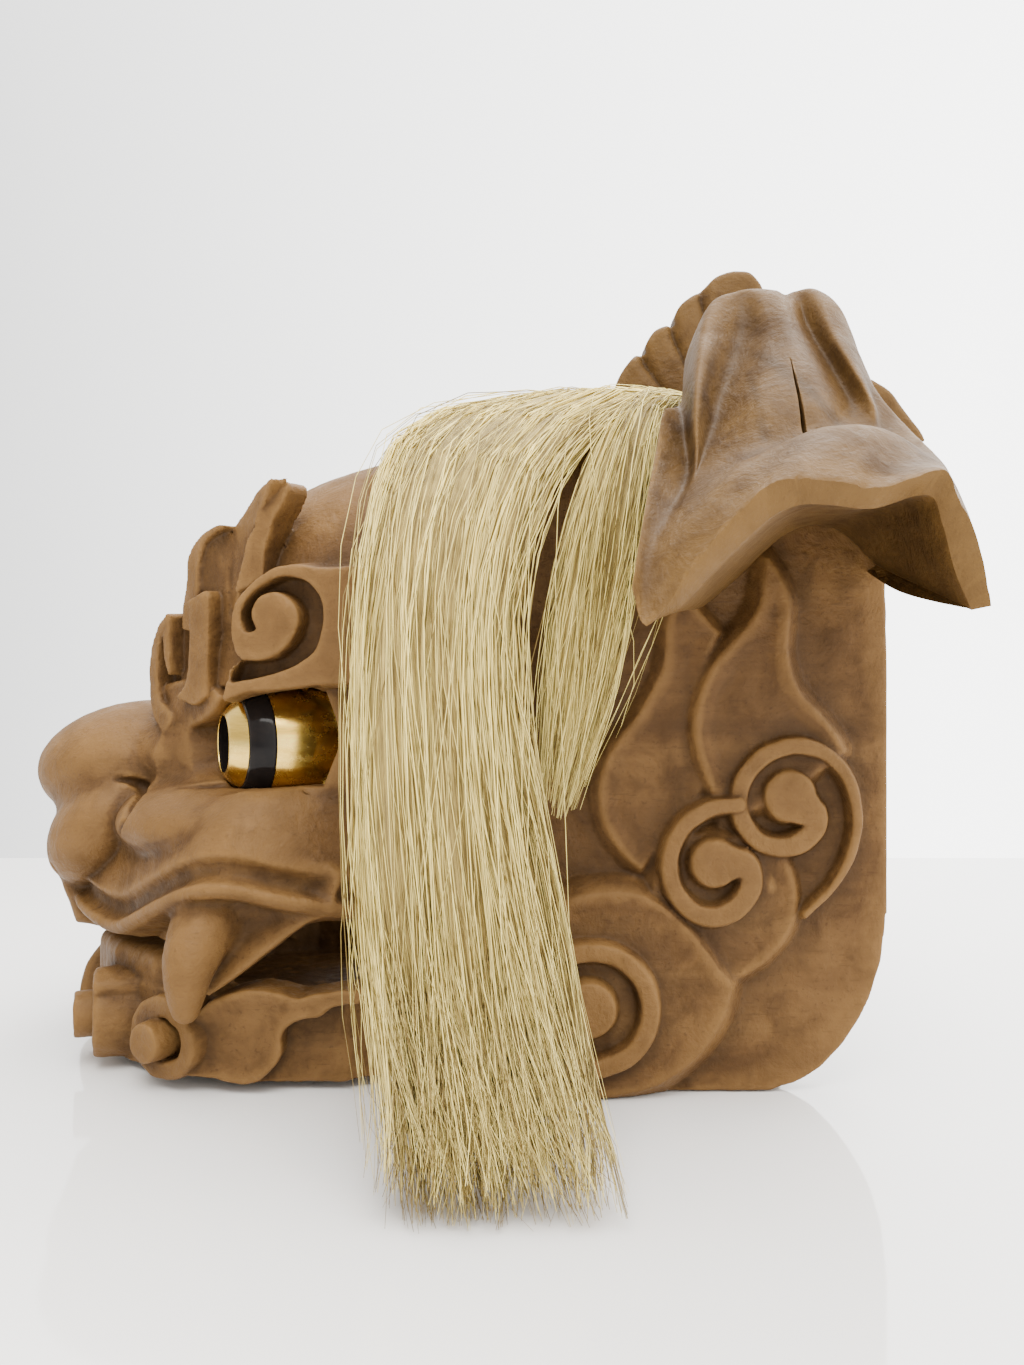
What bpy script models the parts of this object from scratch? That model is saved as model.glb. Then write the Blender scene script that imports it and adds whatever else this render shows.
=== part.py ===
"""Lion dance head: a carved wooden mask that stands on a table by its own weight.

Metres, +Z up. The lion looks along -Y and its left side is +X. The origin is on the table, in the middle
of the head's own box. The carving is written in shares: 1 share is a 305th of the carved length, from the
tip of the nose to the rear edge of the side panels, so a list point (y, z) reads as millimetres on the
real head.
"""

import math

import bmesh
import bpy
from mathutils import Matrix, Vector

# Driving dimensions
HEAD_LENGTH = 0.305
WALL = 0.012
TOUCH_GAP = 0.0003
EYE_RADIUS = 0.0215
EYE_WALL = 0.0012
PUPIL_RADIUS = 0.0104
PIN_RADIUS = 0.0065
PIN_LENGTH = 0.006
PIN_CLEARANCE = 0.0005
JAW_SIDE_CLEARANCE = 0.001
EAR_THICKNESS = 0.009
CREST_THICKNESS = 0.017
HAIR_THICKNESS = 0.015

# Points closer than this are one point
WELD = 0.000001

# How far a cutter runs past what it cuts
CUTTER_REACH = HEAD_LENGTH

# Shares
SHARE = HEAD_LENGTH / 305
FRONT_TO_MIDDLE = 11.315
HALF_WIDTH = 78
PANEL_FACE = HALF_WIDTH * SHARE
PANEL_INNER = PANEL_FACE - WALL
HINGE_Y, HINGE_Z = 25, 32

WOOD_BROWN = (0.36, 0.19, 0.085)
WOOD_TAN = (0.47, 0.29, 0.14)
GOLD = (0.83, 0.58, 0.19)
HORSEHAIR = (0.74, 0.62, 0.38)

for scene_object in list(bpy.data.objects):
    bpy.data.objects.remove(scene_object, do_unlink=True)

parts = bpy.data.collections.new("lion_dance_head")
guides = bpy.data.collections.new("cutters")
bpy.context.scene.collection.children.link(parts)
bpy.context.scene.collection.children.link(guides)


def finish(name, colour, roughness, metallic=0.0):
    """A Principled material with the colour, roughness and metallic value of one kind of surface."""
    material = bpy.data.materials.new(name)
    material.use_nodes = True
    shader = material.node_tree.nodes["Principled BSDF"]
    shader.inputs["Base Color"].default_value = (*colour, 1.0)
    shader.inputs["Roughness"].default_value = roughness
    shader.inputs["Metallic"].default_value = metallic
    return material


def at(x, y, z):
    """A point given in shares, in metres."""
    return Vector((x, y, z)) * SHARE


def curve_through(points, steps):
    """A smooth line through the points, ends kept: `steps` pieces between two neighbours."""
    points = [Vector(point) for point in points]
    padded = [2 * points[0] - points[1], *points, 2 * points[-1] - points[-2]]
    line = []
    for before, start, end, after in zip(padded, padded[1:], padded[2:], padded[3:]):
        for step in range(steps):
            t = step / steps
            line.append(
                0.5
                * (
                    2 * start
                    + (end - before) * t
                    + (2 * before - 5 * start + 4 * end - after) * t**2
                    + (3 * start - before - 3 * end + after) * t**3
                )
            )
    return [*line, points[-1]]


def outline_of(*stretches, steps=2):
    """A closed outline from smooth stretches that meet in corners, each starting where the last ended."""
    outline = []
    for stretch in stretches:
        outline += curve_through(stretch, steps)[:-1]
    return outline


def circle(centre, radius, count=14):
    """Points round a circle, counterclockwise."""
    return [
        (
            centre[0] + radius * math.cos(2 * math.pi * i / count),
            centre[1] + radius * math.sin(2 * math.pi * i / count),
        )
        for i in range(count)
    ]


def scroll(centre, radii, angles, widths, count=16):
    """The outline of a band that winds inwards: its middle line's radius and its width change evenly."""
    outer, inner = [], []
    for i in range(count + 1):
        t = i / count
        angle = math.radians(angles[0] + (angles[1] - angles[0]) * t)
        radius = radii[0] + (radii[1] - radii[0]) * t
        half = (widths[0] + (widths[1] - widths[0]) * t) / 2
        way = Vector((math.cos(angle), math.sin(angle)))
        outer.append(Vector(centre) + way * (radius + half))
        inner.append(Vector(centre) + way * (radius - half))
    return outer + inner[::-1]


def object_of(mesh, name):
    """An object with this mesh, its faces pointing out."""
    cleaned = bmesh.new()
    cleaned.from_mesh(mesh)
    bmesh.ops.remove_doubles(cleaned, verts=cleaned.verts, dist=WELD)
    bmesh.ops.recalc_face_normals(cleaned, faces=cleaned.faces)
    cleaned.to_mesh(mesh)
    cleaned.free()
    made = bpy.data.objects.new(name, mesh)
    guides.objects.link(made)
    made.hide_render = True
    made.display_type = "WIRE"
    return made


def evaluated(source, name):
    """The object's mesh after its modifiers, as a new object in place of the old one."""
    bpy.context.view_layer.update()
    graph = bpy.context.evaluated_depsgraph_get()
    mesh = bpy.data.meshes.new_from_object(source.evaluated_get(graph))
    mesh.transform(source.matrix_world)
    bpy.data.objects.remove(source, do_unlink=True)
    return object_of(mesh, name)


def plate(name, outline, thickness, matrix, chamfer=0.0):
    """A flat outline made solid: its face at the matrix's z = 0, its back at z = -thickness, in shares."""
    data = bpy.data.curves.new(name, "CURVE")
    data.dimensions = "2D"
    data.fill_mode = "BOTH"
    data.extrude = (thickness / 2 - chamfer) * SHARE
    data.bevel_depth = chamfer * SHARE
    data.bevel_resolution = 0
    data.offset = -chamfer * SHARE
    spline = data.splines.new("POLY")
    spline.points.add(len(outline) - 1)
    for point, (across, up) in zip(spline.points, outline):
        point.co = (across * SHARE, up * SHARE, 0.0, 1.0)
    spline.use_cyclic_u = True
    made = bpy.data.objects.new(name, data)
    guides.objects.link(made)
    made.matrix_world = matrix @ Matrix.Translation((0, 0, -thickness / 2 * SHARE))
    return evaluated(made, name)


def side_plane(x):
    """The plane x = constant with (across, up) = (y, z) and its face looking to +X."""
    return Matrix(((0, 0, 1, x * SHARE), (1, 0, 0, 0), (0, 1, 0, 0), (0, 0, 0, 1)))


def turned_plane(x, y, heading):
    """An upright plane through (x, y) that looks `heading` degrees away from straight ahead, to +X."""
    turn = math.radians(heading)
    return Matrix(
        (
            (math.cos(turn), 0, math.sin(turn), x * SHARE),
            (math.sin(turn), 0, -math.cos(turn), y * SHARE),
            (0, 1, 0, 0),
            (0, 0, 0, 1),
        )
    )


def seen_from_side(outline, y, heading):
    """An outline drawn as (y, z) from the side, in the across and up of a plane turned by `heading`."""
    return [((point[0] - y) / math.sin(math.radians(heading)), point[1]) for point in outline]


def loft(name, rings):
    """A closed skin over rings with the same number of points, capped at both ends."""
    skin = bmesh.new()
    rows = [[skin.verts.new(point) for point in ring] for ring in rings]
    for row, following in zip(rows, rows[1:]):
        for i in range(len(row)):
            j = (i + 1) % len(row)
            skin.faces.new((row[i], row[j], following[j], following[i]))
    skin.faces.new(rows[0])
    skin.faces.new(rows[-1])
    mesh = bpy.data.meshes.new(name)
    skin.to_mesh(mesh)
    skin.free()
    return object_of(mesh, name)


def ball(name, centre, radii, segments=14, tilt=0.0):
    """An ellipsoid in shares, leaned about X by `tilt` degrees."""
    skin = bmesh.new()
    bmesh.ops.create_uvsphere(skin, u_segments=segments, v_segments=segments // 2 + 1, radius=1.0)
    matrix = (
        Matrix.Translation(at(*centre))
        @ Matrix.Rotation(math.radians(tilt), 4, "X")
        @ Matrix.Diagonal((*[radius * SHARE for radius in radii], 1.0))
    )
    bmesh.ops.transform(skin, matrix=matrix, verts=skin.verts)
    mesh = bpy.data.meshes.new(name)
    skin.to_mesh(mesh)
    skin.free()
    return object_of(mesh, name)


def box(name, low, high):
    """A box between two corners in metres."""
    low, high = Vector(low), Vector(high)
    skin = bmesh.new()
    bmesh.ops.create_cube(skin, size=1.0)
    matrix = Matrix.Translation((low + high) / 2) @ Matrix.Diagonal((*(high - low), 1.0))
    bmesh.ops.transform(skin, matrix=matrix, verts=skin.verts)
    mesh = bpy.data.meshes.new(name)
    skin.to_mesh(mesh)
    skin.free()
    return object_of(mesh, name)


def under_table(top):
    """All the room below the height `top`, in metres."""
    reach = CUTTER_REACH
    return box("under_table", (-reach, -reach, -reach), (reach, reach, top))


def cross_pin(name, x_start, x_end, radius, segments=24):
    """A cylinder along X on the jaw's axis, in metres."""
    skin = bmesh.new()
    bmesh.ops.create_cone(
        skin,
        cap_ends=True,
        segments=segments,
        radius1=radius,
        radius2=radius,
        depth=x_end - x_start,
    )
    centre = Vector(((x_start + x_end) / 2, HINGE_Y * SHARE, HINGE_Z * SHARE))
    matrix = Matrix.Translation(centre) @ Matrix.Rotation(math.pi / 2, 4, "Y")
    bmesh.ops.transform(skin, matrix=matrix, verts=skin.verts)
    mesh = bpy.data.meshes.new(name)
    skin.to_mesh(mesh)
    skin.free()
    return object_of(mesh, name)


def mirrored(source):
    """The same shape on the other side of the plane x = 0."""
    mesh = source.data.copy()
    mesh.transform(Matrix.Diagonal((-1.0, 1.0, 1.0, 1.0)))
    mesh.flip_normals()
    return object_of(mesh, source.name + "_mirrored")


def both(shapes):
    """The shapes with their mirror images."""
    return [*shapes, *[mirrored(shape) for shape in shapes]]


def combine(name, base, operation, shapes):
    """The base joined with, or cut by, all the shapes, one after the other."""
    for index, shape in enumerate(shapes):
        modifier = base.modifiers.new(f"{operation.lower()}_{index}", "BOOLEAN")
        modifier.operation = operation
        modifier.solver = "EXACT"
        modifier.object = shape
    made = evaluated(base, name)
    for shape in shapes:
        bpy.data.objects.remove(shape, do_unlink=True)
    return made


def arch(y, half_width, top, bottom, inset=0.0, spring=118, fullness=3.0, steps=6):
    """One section of the skull at y: upright sides and a rounded top, drawn in by `inset`, in metres."""
    side = []
    for i in range(steps + 1):
        angle = math.pi / 2 * i / steps
        across = math.cos(angle) ** (2 / fullness) if i < steps else 0.0
        up = math.sin(angle) ** (2 / fullness)
        reach = half_width * SHARE - inset
        rise = (top - spring) * SHARE - inset
        side.append((reach * across, spring * SHARE + rise * up))
    side.insert(0, (side[0][0], bottom * SHARE))
    left = [Vector((x, y * SHARE, z)) for x, z in side]
    right = [Vector((-x, y * SHARE, z)) for x, z in side[-2::-1]]
    return left + right


# The skull's sections from the nose's root to the rear edge: y, half width, top
SKULL = (
    (-124, 46, 132),
    (-110, 58, 166),
    (-96, 66, 190),
    (-80, 71, 203),
    (-58, 75, 212),
    (-25, 76.5, 220),
    (20, 77.2, 226),
    (70, 77.2, 230),
    (121.6, 77.2, 226),
)
CHEEK_BOTTOM = 58


def skull_shape(name, inset=0.0, first=0, past_rear=0.0, bottom=CHEEK_BOTTOM):
    """The outer form of the head without its carving, or the same form drawn in or out by `inset`."""
    rings = [arch(y, width, top, bottom, inset) for y, width, top in SKULL[first:]]
    if past_rear:
        rings[-1] = [point + Vector((0, past_rear, 0)) for point in rings[-1]]
    return loft(name, rings)


def side_panel():
    """The flat board on the lion's left, with its rounded lower rear corner, down to the table."""
    front = [(-48, 150), (-48, 44), (-42, 38), (-14, 38), (-9, 30), (-6, 14), (2, 4), (14, 0)]
    lower_corner = curve_through([(84, 0), (98, 6), (111, 20), (119, 40), (122, 66)], 2)
    outline = [*front, *lower_corner, (122, 190), (-48, 190)]
    return plate("side_panel", outline, WALL / SHARE, side_plane(HALF_WIDTH))


def panel_relief():
    """Two flame tongues, three scrolls and their clouds, standing proud of the side panel."""
    shapes = []

    def raise_up(name, outline, height):
        foot = 4
        plane = side_plane(HALF_WIDTH + height)
        shapes.append(plate(name, outline, height + foot, plane))

    rear_tongue = outline_of(
        [(83, 176), (91, 160), (90, 142), (99, 126), (106, 108)],
        [(106, 108), (84, 90), (66, 96)],
        [(66, 96), (59, 110), (62, 136), (75, 152), (83, 176)],
    )
    front_tongue = outline_of(
        [(58, 168), (59, 146), (51, 124), (53, 94), (50, 76)],
        [(50, 76), (36, 78), (28, 98), (37, 124), (48, 142), (58, 168)],
    )
    rear_cloud = outline_of(
        [(100, 118), (110, 100), (109, 82), (92, 59)],
        [(92, 59), (62, 62), (66, 100), (100, 118)],
    )
    middle_cloud = outline_of(
        [(86, 80), (92, 62), (86, 45), (70, 37)],
        [(70, 37), (46, 48), (50, 80), (86, 80)],
    )
    low_cloud = outline_of(
        [(70, 39), (66, 24), (49, 8), (20, 1.5)],
        [(20, 1.5), (-3, 26), (8, 60), (40, 64), (70, 39)],
    )
    raise_up("rear_tongue", rear_tongue, 4.0)
    raise_up("front_tongue", front_tongue, 3.4)
    raise_up("rear_cloud", rear_cloud, 2.2)
    raise_up("middle_cloud", middle_cloud, 4.6)
    raise_up("low_cloud", low_cloud, 6.6)
    raise_up("rear_scroll", scroll((84, 95), (17.5, 9.5), (40, 400), (6.0, 4.0), 13), 8.0)
    raise_up("rear_eye", circle((88, 97), 8.6, 9), 7.4)
    raise_up("middle_scroll", scroll((64, 76), (16.5, 9.0), (60, 390), (6.0, 4.0), 12), 9.4)
    raise_up("middle_eye", circle((66, 77), 7.6, 9), 8.6)
    raise_up("low_scroll", scroll((25, 32), (17.0, 17.0), (-110, 200), (6.2, 6.2), 13), 12.0)
    raise_up("low_eye", circle((HINGE_Y, HINGE_Z), 7.8, 9), 11.4)
    return shapes


def brow():
    """The left brow: a side scroll over a lid, a tall leaf behind it and three curls towards the nose."""

    def carved(name, outline, depth, x, y, heading):
        flat = seen_from_side(outline, y, heading)
        return plate(name, flat, depth, turned_plane(x, y, heading))

    lid_edge = [(-106, 121), (-97, 126), (-84, 130), (-60, 132), (-34, 134)]
    lid = [*lid_edge, (-34, 170), (-70, 166), (-100, 158), (-110, 140)]
    tall_leaf = outline_of(
        [(-76, 201), (-89, 193), (-102, 174), (-106, 146)],
        [(-106, 146), (-84, 140), (-83, 170), (-73, 196), (-76, 201)],
    )
    second_leaf = outline_of(
        [(-99, 188), (-111, 185), (-118, 164), (-118, 140)],
        [(-118, 140), (-100, 138), (-107, 164), (-99, 188)],
    )
    near_curl = outline_of(
        [(-108, 166), (-117, 162), (-116, 144), (-124, 124)],
        [(-124, 124), (-106, 120), (-104, 142), (-108, 166)],
    )
    front_curl = outline_of(
        [(-121, 158), (-129, 153), (-133, 138), (-128, 121)],
        [(-128, 121), (-112, 118), (-114, 138), (-121, 158)],
    )
    ring = scroll((-78, 152), (14.0, 11.5), (205, -70), (5.4, 4.6), 12)
    return [
        ball("brow_mass", (42, -96, 156), (31, 22, 31), 10),
        carved("lid", lid, 26, 76, -60, 82),
        carved("tall_leaf", tall_leaf, 20, 62, -84, 66),
        carved("second_leaf", second_leaf, 20, 44, -106, 52),
        carved("near_curl", near_curl, 20, 51, -110, 50),
        carved("front_curl", front_curl, 20, 26, -126, 36),
        carved("brow_ring", ring, 16, 80, -78, 78),
        carved("brow_eye", circle((-79, 154), 7.6, 9), 16.5, 80.3, -78, 78),
    ]


def nose():
    """A broad bulb on a bridge, with a wing over each nostril."""
    return [
        ball("bulb", (0, -145, 101), (39, 38, 24), 14, tilt=8),
        ball("bridge", (0, -118, 108), (30, 40, 19), 12),
        ball("wing_left", (26, -152, 76), (24, 24, 20), 12, tilt=-20),
        ball("wing_right", (-26, -152, 76), (24, 24, 20), 12, tilt=-20),
        ball("muzzle", (0, -134, 78), (54, 34, 24), 12),
        ball("cheek_left", (54, -108, 86), (24, 26, 13), 10),
        ball("cheek_right", (-54, -108, 86), (24, 26, 13), 10),
    ]


# The upper lip's edge from the middle of the muzzle to the corner of the mouth: x, y, z, the lip's top and
# the lower edge of the gum under it
LIP = (
    (0, -165, 55, 74, 42),
    (26, -162, 53, 74, 42),
    (46, -148, 49, 80, 42),
    (64, -133, 51, 86, 43),
    (80, -117, 58, 92, 49),
    (90, -103, 66, 95, 56),
    (94, -87, 70, 97, 58),
    (91, -70, 66, 98, 57),
    (84, -50, 60, 98, 54),
    (77, -28, 58, 98, 54),
)


def upper_lip():
    """The flared lip as one band round the muzzle: an edge bead, a groove over it and a full upper face."""
    left = curve_through([station[:2] for station in LIP], 1)
    rings = []
    for side in (-1, 1):
        stations = range(len(LIP)) if side > 0 else range(len(LIP) - 1, 0, -1)
        for i in stations:
            before, after = left[max(i - 1, 0)], left[min(i + 1, len(left) - 1)]
            along = (after - before).normalized() if i else Vector((1, 0))
            outward = Vector((along.y, -along.x))
            _, _, edge, top, gum = LIP[i]
            middle = (edge + top) / 2
            section = (
                (0, edge),
                (-1.2, edge + 3.6),
                (-6.5, edge + 8),
                (-6.5, middle + 5),
                (-17, top),
                (-34, top),
                (-24, gum),
                (-9, gum),
                (-6, edge - 4),
                (-2, edge - 2.4),
            )
            ring = [
                at(side * (left[i].x + out * outward.x), left[i].y + out * outward.y, z)
                for out, z in section
            ]
            rings.append(ring)
    return loft("upper_lip", rings)


def fang():
    """The left fang with the gum fold that runs up behind it."""
    tooth = curve_through([(-111, 62), (-110, 42), (-101, 26.5), (-94, 38)], 2)
    outline = [*tooth, (-64, 62), (-66, 70), (-100, 76)]
    return plate("fang", outline, 13, side_plane(97), chamfer=2.2)


def eye_profile(outwards):
    """The eye's turned half section as (radius, distance behind the pupil's rim), in metres."""
    steps = 4
    length = 1.25 * EYE_RADIUS
    start = math.asin(PUPIL_RADIUS / EYE_RADIUS)
    rim = length * math.cos(start)
    points = []
    for i in range(steps + 1):
        angle = start + (math.pi / 2 - start) * i / steps
        reach = EYE_RADIUS * math.sin(angle) + outwards
        points.append((reach, rim - (length + outwards) * math.cos(angle)))
    points.append((EYE_RADIUS + outwards, rim + 0.35 * EYE_RADIUS))
    return points


EYE_HEADING = 25
EYE_PUPIL = (60, -98.5, 112)


def eye_matrix():
    """The eye's axis: from the pupil's rim backwards and inwards."""
    turn = math.radians(EYE_HEADING)
    back = Vector((-math.sin(turn), math.cos(turn), 0))
    sideways = Vector((math.cos(turn), math.sin(turn), 0))
    upright = Vector((0, 0, 1))
    rotation = Matrix((sideways, upright, back)).transposed().to_4x4()
    return Matrix.Translation(at(*EYE_PUPIL)) @ rotation


def turned(name, section, matrix, segments=18):
    """A closed (radius, distance) section turned about its own axis."""
    rings = []
    for i in range(segments):
        angle = 2 * math.pi * i / segments
        rings.append(
            [
                matrix @ Vector((radius * math.cos(angle), radius * math.sin(angle), along))
                for radius, along in section
            ]
        )
    skin = bmesh.new()
    rows = [[skin.verts.new(point) for point in ring] for ring in rings]
    count = len(section)
    for i in range(segments):
        row, following = rows[i], rows[(i + 1) % segments]
        for j in range(count):
            k = (j + 1) % count
            skin.faces.new((row[j], row[k], following[k], following[j]))
    mesh = bpy.data.meshes.new(name)
    skin.to_mesh(mesh)
    skin.free()
    return object_of(mesh, name)


def eye():
    """A thin gilt shell with a round hole for the pupil, open behind."""
    outer = eye_profile(0.0)
    inner = eye_profile(-EYE_WALL)
    return turned("eye", outer + inner[::-1], eye_matrix())


def eye_seat():
    """What the head leaves free for the eye and for the sight line behind it."""
    section = eye_profile(TOUCH_GAP)
    depth = section[-1][1] + TOUCH_GAP
    section[-1] = (section[-1][0], depth)
    sight = EYE_RADIUS - 2 * EYE_WALL
    inside = depth + 2.3 * EYE_RADIUS
    ahead = section[0][1] - 0.56 * EYE_RADIUS
    axis = TOUCH_GAP / 3
    section += [(sight, depth), (sight, inside), (axis, inside), (axis, ahead), (section[0][0], ahead)]
    return turned("eye_seat", section, eye_matrix())


def eye_recess():
    """The space between the brow's lid and the lip in which the eye stands out."""
    below = [(-150, 97), (-100, 97), (-50, 99), (-44, 115)]
    above = [(-50, 131.5), (-84, 129), (-99, 125), (-150, 118)]
    return plate("eye_recess", below + above, 60, side_plane(110))


def mouth_hollow():
    """The space behind the lip, open below."""
    inner = WALL / SHARE
    half = [(0, -157 + inner), (28, -153 + inner), (51, -127), (66, -100), (66, -20)]
    outline = half + [(-x, y) for x, y in half[:0:-1]]
    flat = Matrix.Translation((0, 0, 72 * SHARE))
    return plate("mouth_hollow", outline, 120, flat)


def head():
    """The carved head: skull, panels, brows, nose, lip and fangs in one hollow piece, open behind."""
    carving = [side_panel(), *panel_relief(), *brow(), fang()]
    skull = combine("skull_cut", skull_shape("skull"), "DIFFERENCE", both([eye_recess()]))
    made = combine("head_solid", skull, "UNION", [*both(carving), *nose(), upper_lip()])
    hollow = skull_shape("hollow", inset=WALL, first=2, past_rear=2 * WALL, bottom=-30)
    seat = eye_seat()
    socket_end = PANEL_INNER + PIN_LENGTH
    socket_radius = PIN_RADIUS + PIN_CLEARANCE
    socket = cross_pin("socket", PANEL_INNER - WALL, socket_end, socket_radius)
    cutters = [hollow, mouth_hollow(), *both([seat, socket]), under_table(0.0)]
    return combine("head", made, "DIFFERENCE", cutters)


def jaw():
    """The lower jaw: a tray with beard curls round its front and two arms back to its pins."""
    arm_face = (PANEL_INNER - JAW_SIDE_CLEARANCE) / SHARE
    arm_inner = arm_face - 12
    outer_half = [(0, -151), (28, -148), (52, -134), (68, -112), (75, -86), (75, -54), (arm_face, -20)]
    inner_half = [(arm_inner, -10), (60, -54), (61, -86), (54, -106), (40, -122), (22, -133), (0, -136)]
    left_outer = curve_through(outer_half, 1)
    left_inner = curve_through(inner_half, 1)
    left = [*left_outer, Vector((arm_face, 24)), Vector((arm_inner, 24)), *left_inner]
    right = [Vector((-point[0], point[1])) for point in left[-2:0:-1]]
    rim = plate("rim", left + right, 27, Matrix.Translation((0, 0, 30 * SHARE)))
    floor_half = left_outer[:-2]
    floor_outline = floor_half + [Vector((-point[0], point[1])) for point in floor_half[:0:-1]]
    floor = plate("floor", floor_outline, 10, Matrix.Translation((0, 0, 13 * SHARE)))
    gum_outer = [(0, -147), (26, -144), (48, -131), (62, -112)]
    gum_half = [*gum_outer, (52, -106), (38, -122), (20, -132), (0, -135)]
    gum_outline = gum_half + [(-x, y) for x, y in gum_half[-2:0:-1]]
    gum = plate("gum", gum_outline, 20, Matrix.Translation((0, 0, 40.5 * SHARE)))
    curls = []

    def curl(name, centre_x, centre_y, heading, radius, depth, hub):
        turn = math.radians(heading)
        plane = turned_plane(centre_x, centre_y, heading)
        floor_plane = turned_plane(centre_x - 8 * math.sin(turn), centre_y + 8 * math.cos(turn), heading)
        middle = (0, radius - 0.8)
        ring = scroll(middle, (radius - 3, radius - 4.5), (70, 415), (6, 4.5), 12)
        curls.append(plate(name, ring, depth, plane))
        curls.append(plate(name + "_floor", circle(middle, radius - 3, 9), depth - 9, floor_plane))
        curls.append(plate(name + "_hub", circle(middle, hub, 8), depth - 2, plane))

    curl("side_curl", 80, -114, 78, 15.0, 18, 5.0)
    curl("front_curl", 44, -150, 34, 18.0, 22, 6.0)
    leaf_top = [(-103, 22), (-97, 30), (-84, 34), (-66, 33), (-50, 35), (-50, 24)]
    leaf_tail = [(-62, 21), (-69, 14), (-72, 7), (-79, 2.5), (-91, 1.6), (-100, 6)]
    curls.append(plate("cheek_leaf", leaf_top + leaf_tail, 12, side_plane(79)))
    tuft = [(-157, -1), (-163, 6), (-163, 16), (-159, 27), (-152, 38), (-142, 38), (-142, -1)]
    middle_tuft = plate("middle_tuft", tuft, 26, side_plane(13))
    boss = plate("boss", circle((HINGE_Y, HINGE_Z), 12, 16), 12.5, side_plane(arm_face - 0.05))
    shoulder = [(-12, 4), (18, 22), (24, 43.5), (2, 34), (-12, 29.5)]
    shoulder = plate("shoulder", shoulder, 12.2, side_plane(arm_face - 0.02))
    pin_end = PANEL_INNER + PIN_LENGTH - PIN_CLEARANCE
    pin = cross_pin("pin", (arm_face - 6) * SHARE, pin_end, PIN_RADIUS)
    shapes = [floor, gum, middle_tuft, *both([*curls, boss, shoulder, pin])]
    made = combine("jaw_solid", rim, "UNION", shapes)
    return combine("jaw", made, "DIFFERENCE", [under_table(0.0)])


# The ear's surface as seen from its root at the crown to its open end: one row per step outwards, each
# point x, y, z from the front lobe's edge over the two folds to the tip of the rear wing
EAR = (
    (
        (56, 62, 222), (58, 68, 226), (58, 76, 228), (58, 84, 228),
        (58, 92, 228), (58, 102, 226), (56, 112, 220), (54, 118, 212),
    ),
    (
        (64, 56, 240), (68, 65, 263), (66, 76, 267), (70, 84, 273),
        (66, 92, 268), (70, 104, 270), (66, 117, 252), (60, 122, 228),
    ),
    (
        (90, 51, 214), (94, 58, 236), (88, 69, 235), (98, 81, 247),
        (92, 91, 240), (99, 106, 243), (93, 119, 225), (80, 126, 204),
    ),
    (
        (120, 37, 170), (124, 44, 196), (122, 54, 196), (130, 72, 208),
        (130, 88, 204), (134, 104, 206), (130, 118, 198), (116, 130, 170),
    ),
    (
        (142, 36, 142), (150, 43, 158), (152, 56, 172), (154, 70, 187),
        (156, 84, 189), (156, 98, 189), (154, 113, 189), (142, 127, 146),
    ),
)


def ear():
    """The left ear: a thick drooping leaf folded over its middle, from a coarse cage, on the crown."""
    skin = bmesh.new()
    rows = [[skin.verts.new(at(*point)) for point in row] for row in EAR]
    for row, following in zip(rows, rows[1:]):
        for i in range(len(row) - 1):
            skin.faces.new((row[i], row[i + 1], following[i + 1], following[i]))
    mesh = bpy.data.meshes.new("ear")
    skin.to_mesh(mesh)
    skin.free()
    made = object_of(mesh, "ear_cage")
    shell = made.modifiers.new("thickness", "SOLIDIFY")
    shell.thickness = EAR_THICKNESS
    shell.offset = 0.0
    smooth = made.modifiers.new("smooth", "SUBSURF")
    smooth.levels = 1
    smooth.render_levels = 1
    made = evaluated(made, "ear_shell")
    return combine("ear_left", made, "DIFFERENCE", [skull_shape("crown", inset=-TOUCH_GAP)])


def crest():
    """The upright leaf on the crown, with notched edges and grooves that spread from its foot."""
    front = [(26, 214), (30, 230)]
    rise = [(37, 244), (41, 256), (46, 260), (47, 268), (54, 275), (59, 276), (61, 283), (68, 286)]
    peak = [(71, 291), (79, 296), (87, 296), (93, 290)]
    fall_back = [(101, 288), (106, 280), (116, 277), (121, 268), (131, 264), (136, 254), (146, 247)]
    tail = [(152, 238), (160, 226), (157, 214), (144, 208), (128, 212)]
    outline = front + rise + peak + fall_back + tail
    thickness = CREST_THICKNESS / SHARE
    made = plate("crest_blank", outline, thickness, side_plane(thickness / 2))
    grooves = []
    foot = Vector((88, 205))
    for tip in ((43, 266), (56, 284), (70, 300), (112, 292), (134, 272)):
        way = (Vector(tip) - foot).normalized()
        start = foot + way * 34
        length = (Vector(tip) - start).length + 6
        for side in (-1, 1):
            cutter = box(
                "groove",
                (-1.6 * SHARE, -1.6 * SHARE, 0.0),
                (1.6 * SHARE, 1.6 * SHARE, length * SHARE),
            )
            lean = Matrix.Rotation(math.atan2(-way.x, way.y), 4, "X")
            spin = Matrix.Rotation(math.radians(45), 4, "Z")
            place = Matrix.Translation((side * CREST_THICKNESS / 2, start.x * SHARE, start.y * SHARE))
            cutter.data.transform(place @ lean @ spin)
            grooves.append(cutter)
    return combine("crest", made, "DIFFERENCE", [*grooves, skull_shape("crown", inset=-TOUCH_GAP)])


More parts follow.
